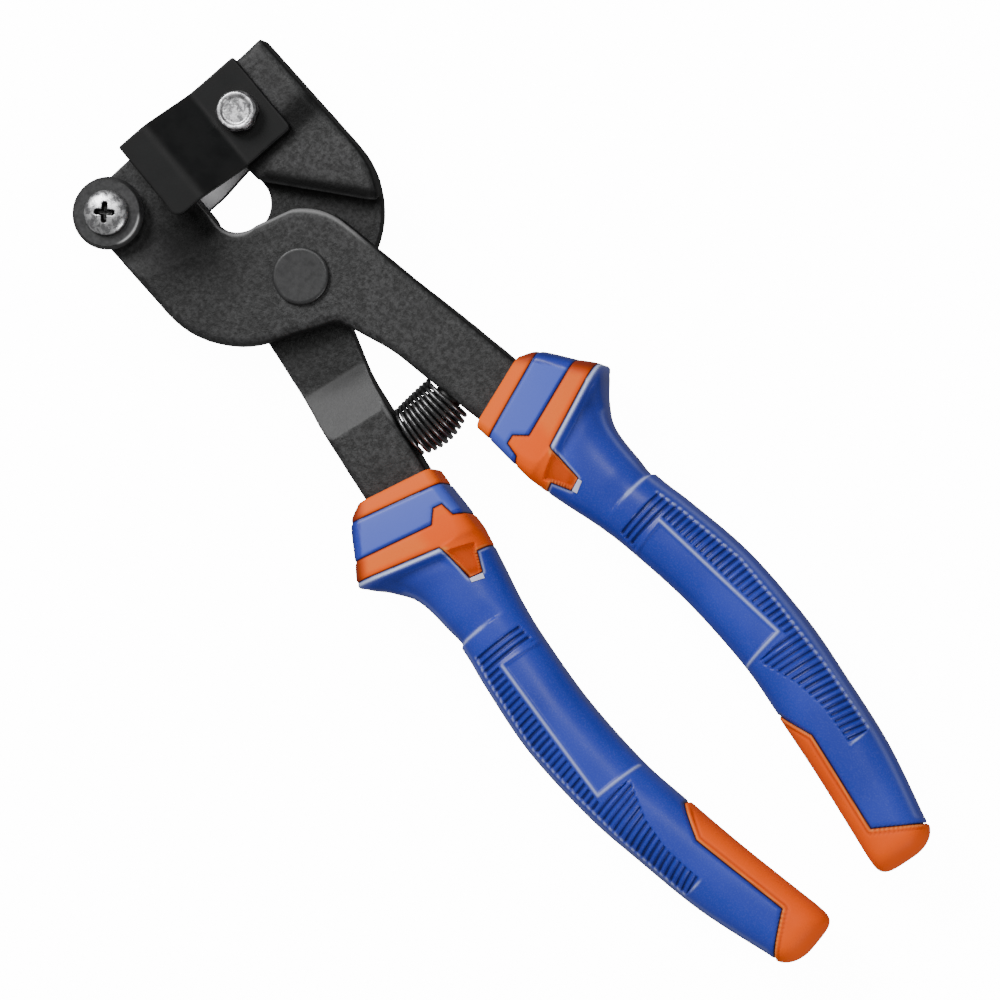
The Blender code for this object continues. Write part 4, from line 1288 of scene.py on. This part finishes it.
materials = {
    "forged_steel": forged_steel("forged_steel", (0.008, 0.008, 0.0082), (0.044, 0.044, 0.045), 0.15),
    "rivet_steel": turned_steel("rivet_steel", (0.029, 0.029, 0.030), (0.036, 0.036, 0.037), 0.3),
    "wheel_steel": turned_steel("wheel_steel", (0.025, 0.025, 0.026), (0.040, 0.040, 0.041), 0.35),
    "spring_steel": spring_steel(),
    "blackened_sheet": blackened_sheet(),
    "zinc_plate": plated("zinc_plate", (0.74, 0.74, 0.75), (0.30, 0.30, 0.31), 0.24, 0.42),
    "bush_brass": bush_brass(),
    "blue_moulding": moulding(
        "blue_moulding", (0.024, 0.047, 0.44), (0.018, 0.037, 0.37), (0.60, 0.68, 0.95),
        (0.004, 0.005, 0.05), (0.066, 0.108, 0.58), (0.34, 0.44), 0.38,
    ),
    "orange_moulding": moulding(
        "orange_moulding", (1.0, 0.112, 0.0), (0.94, 0.098, 0.0), (1.0, 0.40, 0.085),
        (0.02, 0.004, 0.01), (1.0, 0.125, 0.0), (0.50, 0.60), 0.14,
    ),
    "pale_moulding": pale_moulding(),
}

# ---- the tool

foot_centre = centre("foot_sleeve")
wheel_centre = centre("scoring_wheel")
FOOT_TURN = -2.0
FOOT_FRAME = Matrix.Translation((foot_centre.x, foot_centre.y, MIDDLE))
FOOT_FRAME = FOOT_FRAME @ Matrix.Rotation(math.radians(FOOT_TURN), 4, "Z")
WHEEL_FRAME = Matrix.Translation((wheel_centre.x, wheel_centre.y, MIDDLE))

# How far apart the grip's rings are at each x along it, finer where it is ribbed.
GRIP_SPACING = (
    (30, 0.24), (60, 0.24), (66, 0.40), (70, 0.40), (73, 0.22), (136, 0.22), (140, 0.40), (170, 0.40),
)
HEART_SPACING = ((30, 0.7), (170, 0.7))
grip_meshes = {
    "envelope": grip_form(GRIP_SPACING, GRIP_ROUND_COUNT),
    "heart": grip_form(HEART_SPACING, HEART_ROUND_COUNT, CORE_WALL),
    "heart_room": grip_form(HEART_SPACING, HEART_ROUND_COUNT, CORE_WALL - CORE_GAP),
}

build_arm("lower_jaw_arm", "front_forging", FRONT_HALF, LOWER, True)
build_arm("upper_jaw_arm", "rear_forging", REAR_HALF, UPPER, False)
build_rivet()
build_peg("upper_spring_peg", "upper_peg", FRONT_HALF, LOWER)
build_peg("lower_spring_peg", "lower_peg", REAR_HALF, UPPER)
build_spring()
build_wing("foot_wing_front", "front_wing", 1, WING_HALF_WIDTH)
build_wing("foot_wing_rear", "rear_wing", -1, WING_HALF_WIDTH - REAR_WING_TRIM)
build_bolt()
add_ring(
    "swivel_sleeve", "foot_sleeve", FOOT, "zinc_plate", FOOT_FRAME, SLEEVE_RADII,
    -SLEEVE_HALF, SLEEVE_HALF, 0.2,
)
build_wheel()
build_grip("upper_grip", FRONT_HALF, LOWER, 1)
build_grip("lower_grip", REAR_HALF, UPPER, -1)

# ---- the studio

low, high = (Vector(corner) for corner in cad_bounds)
FLOOR_HALF = 8000
FLOOR_GLOW = 14.0
WORLD_GLOW = 0.27
CAMERA_DISTANCE = 1.6
CAMERA_SIDE = Vector((0.143, 0.114, 0.984))
# How wide the picture is at the tool, in metres, and the point in its middle.
CAMERA_FIELD = 0.1883
CAMERA_AIM = Vector((56.35 * MM, -0.6 * MM, MIDDLE))
SENSOR_WIDTH = 36.0
# Each soft light: how far right, up and above it stands, its size and its power.
LIGHTS = {
    "key": (-0.55, 0.70, 0.90, 0.5, 15),
    "front": (0.10, 0.45, 1.25, 0.35, 3.5),
    "fill": (0.70, -0.75, 0.42, 0.3, 4.0),
}


def build_floor():
    """A wide pale sweep under the tool."""
    s = Shader("studio_floor")
    tone = s.mix(s.noise(0.004, 2.0, 0.5), (0.90, 0.90, 0.90), (0.93, 0.93, 0.93))
    white = (1.0, 1.0, 1.0, 1.0)
    material = s.finish(tone, 0.9, Emission_Color=white, Emission_Strength=FLOOR_GLOW)
    corners = [(x * FLOOR_HALF, y * FLOOR_HALF, 0) for x, y in ((-1, -1), (1, -1), (1, 1), (-1, 1))]
    mesh = mesh_of("floor", corners, [(0, 1, 2, 3)])
    mesh.materials.append(material)
    floor = bpy.data.objects.new("studio_floor", mesh)
    floor.location = (0, 0, low.z - 0.1 * MM)
    bpy.context.scene.collection.objects.link(floor)
    # The lit floor is bright enough to wash the tool's sides out, so it doesn't light it.
    floor.visible_diffuse = False
    floor.visible_glossy = False


def look_at(obj, target, up):
    """Turns a camera or light to face a target, its top towards up."""
    back = (obj.location - target).normalized()
    side = up.cross(back).normalized()
    obj.rotation_euler = Matrix((side, back.cross(side), back)).transposed().to_euler()


def build_camera():
    data = bpy.data.cameras.new("camera")
    data.sensor_width = SENSOR_WIDTH
    data.lens = SENSOR_WIDTH * CAMERA_DISTANCE / CAMERA_FIELD
    data.clip_end = 20.0
    camera = bpy.data.objects.new("camera", data)
    bpy.context.scene.collection.objects.link(camera)
    camera.location = CAMERA_AIM + CAMERA_SIDE.normalized() * CAMERA_DISTANCE
    look_at(camera, CAMERA_AIM, UP)
    bpy.context.scene.camera = camera


def build_lights():
    world = bpy.data.worlds.new("studio")
    world.use_nodes = True
    background = world.node_tree.nodes["Background"]
    background.inputs["Color"].default_value = (1.0, 1.0, 1.0, 1.0)
    background.inputs["Strength"].default_value = WORLD_GLOW
    bpy.context.scene.world = world
    above = Vector((0, 0, 1))
    aim = Vector((55 * MM, 0, 0))
    for name, (right, up, over, size, power) in LIGHTS.items():
        data = bpy.data.lights.new(name, "AREA")
        data.shape = "RECTANGLE"
        data.size = data.size_y = size
        data.energy = power
        light = bpy.data.objects.new(name, data)
        light.location = aim + RIGHT * right + UP * up + above * over
        bpy.context.scene.collection.objects.link(light)
        look_at(light, aim, above)


build_floor()
build_camera()
build_lights()
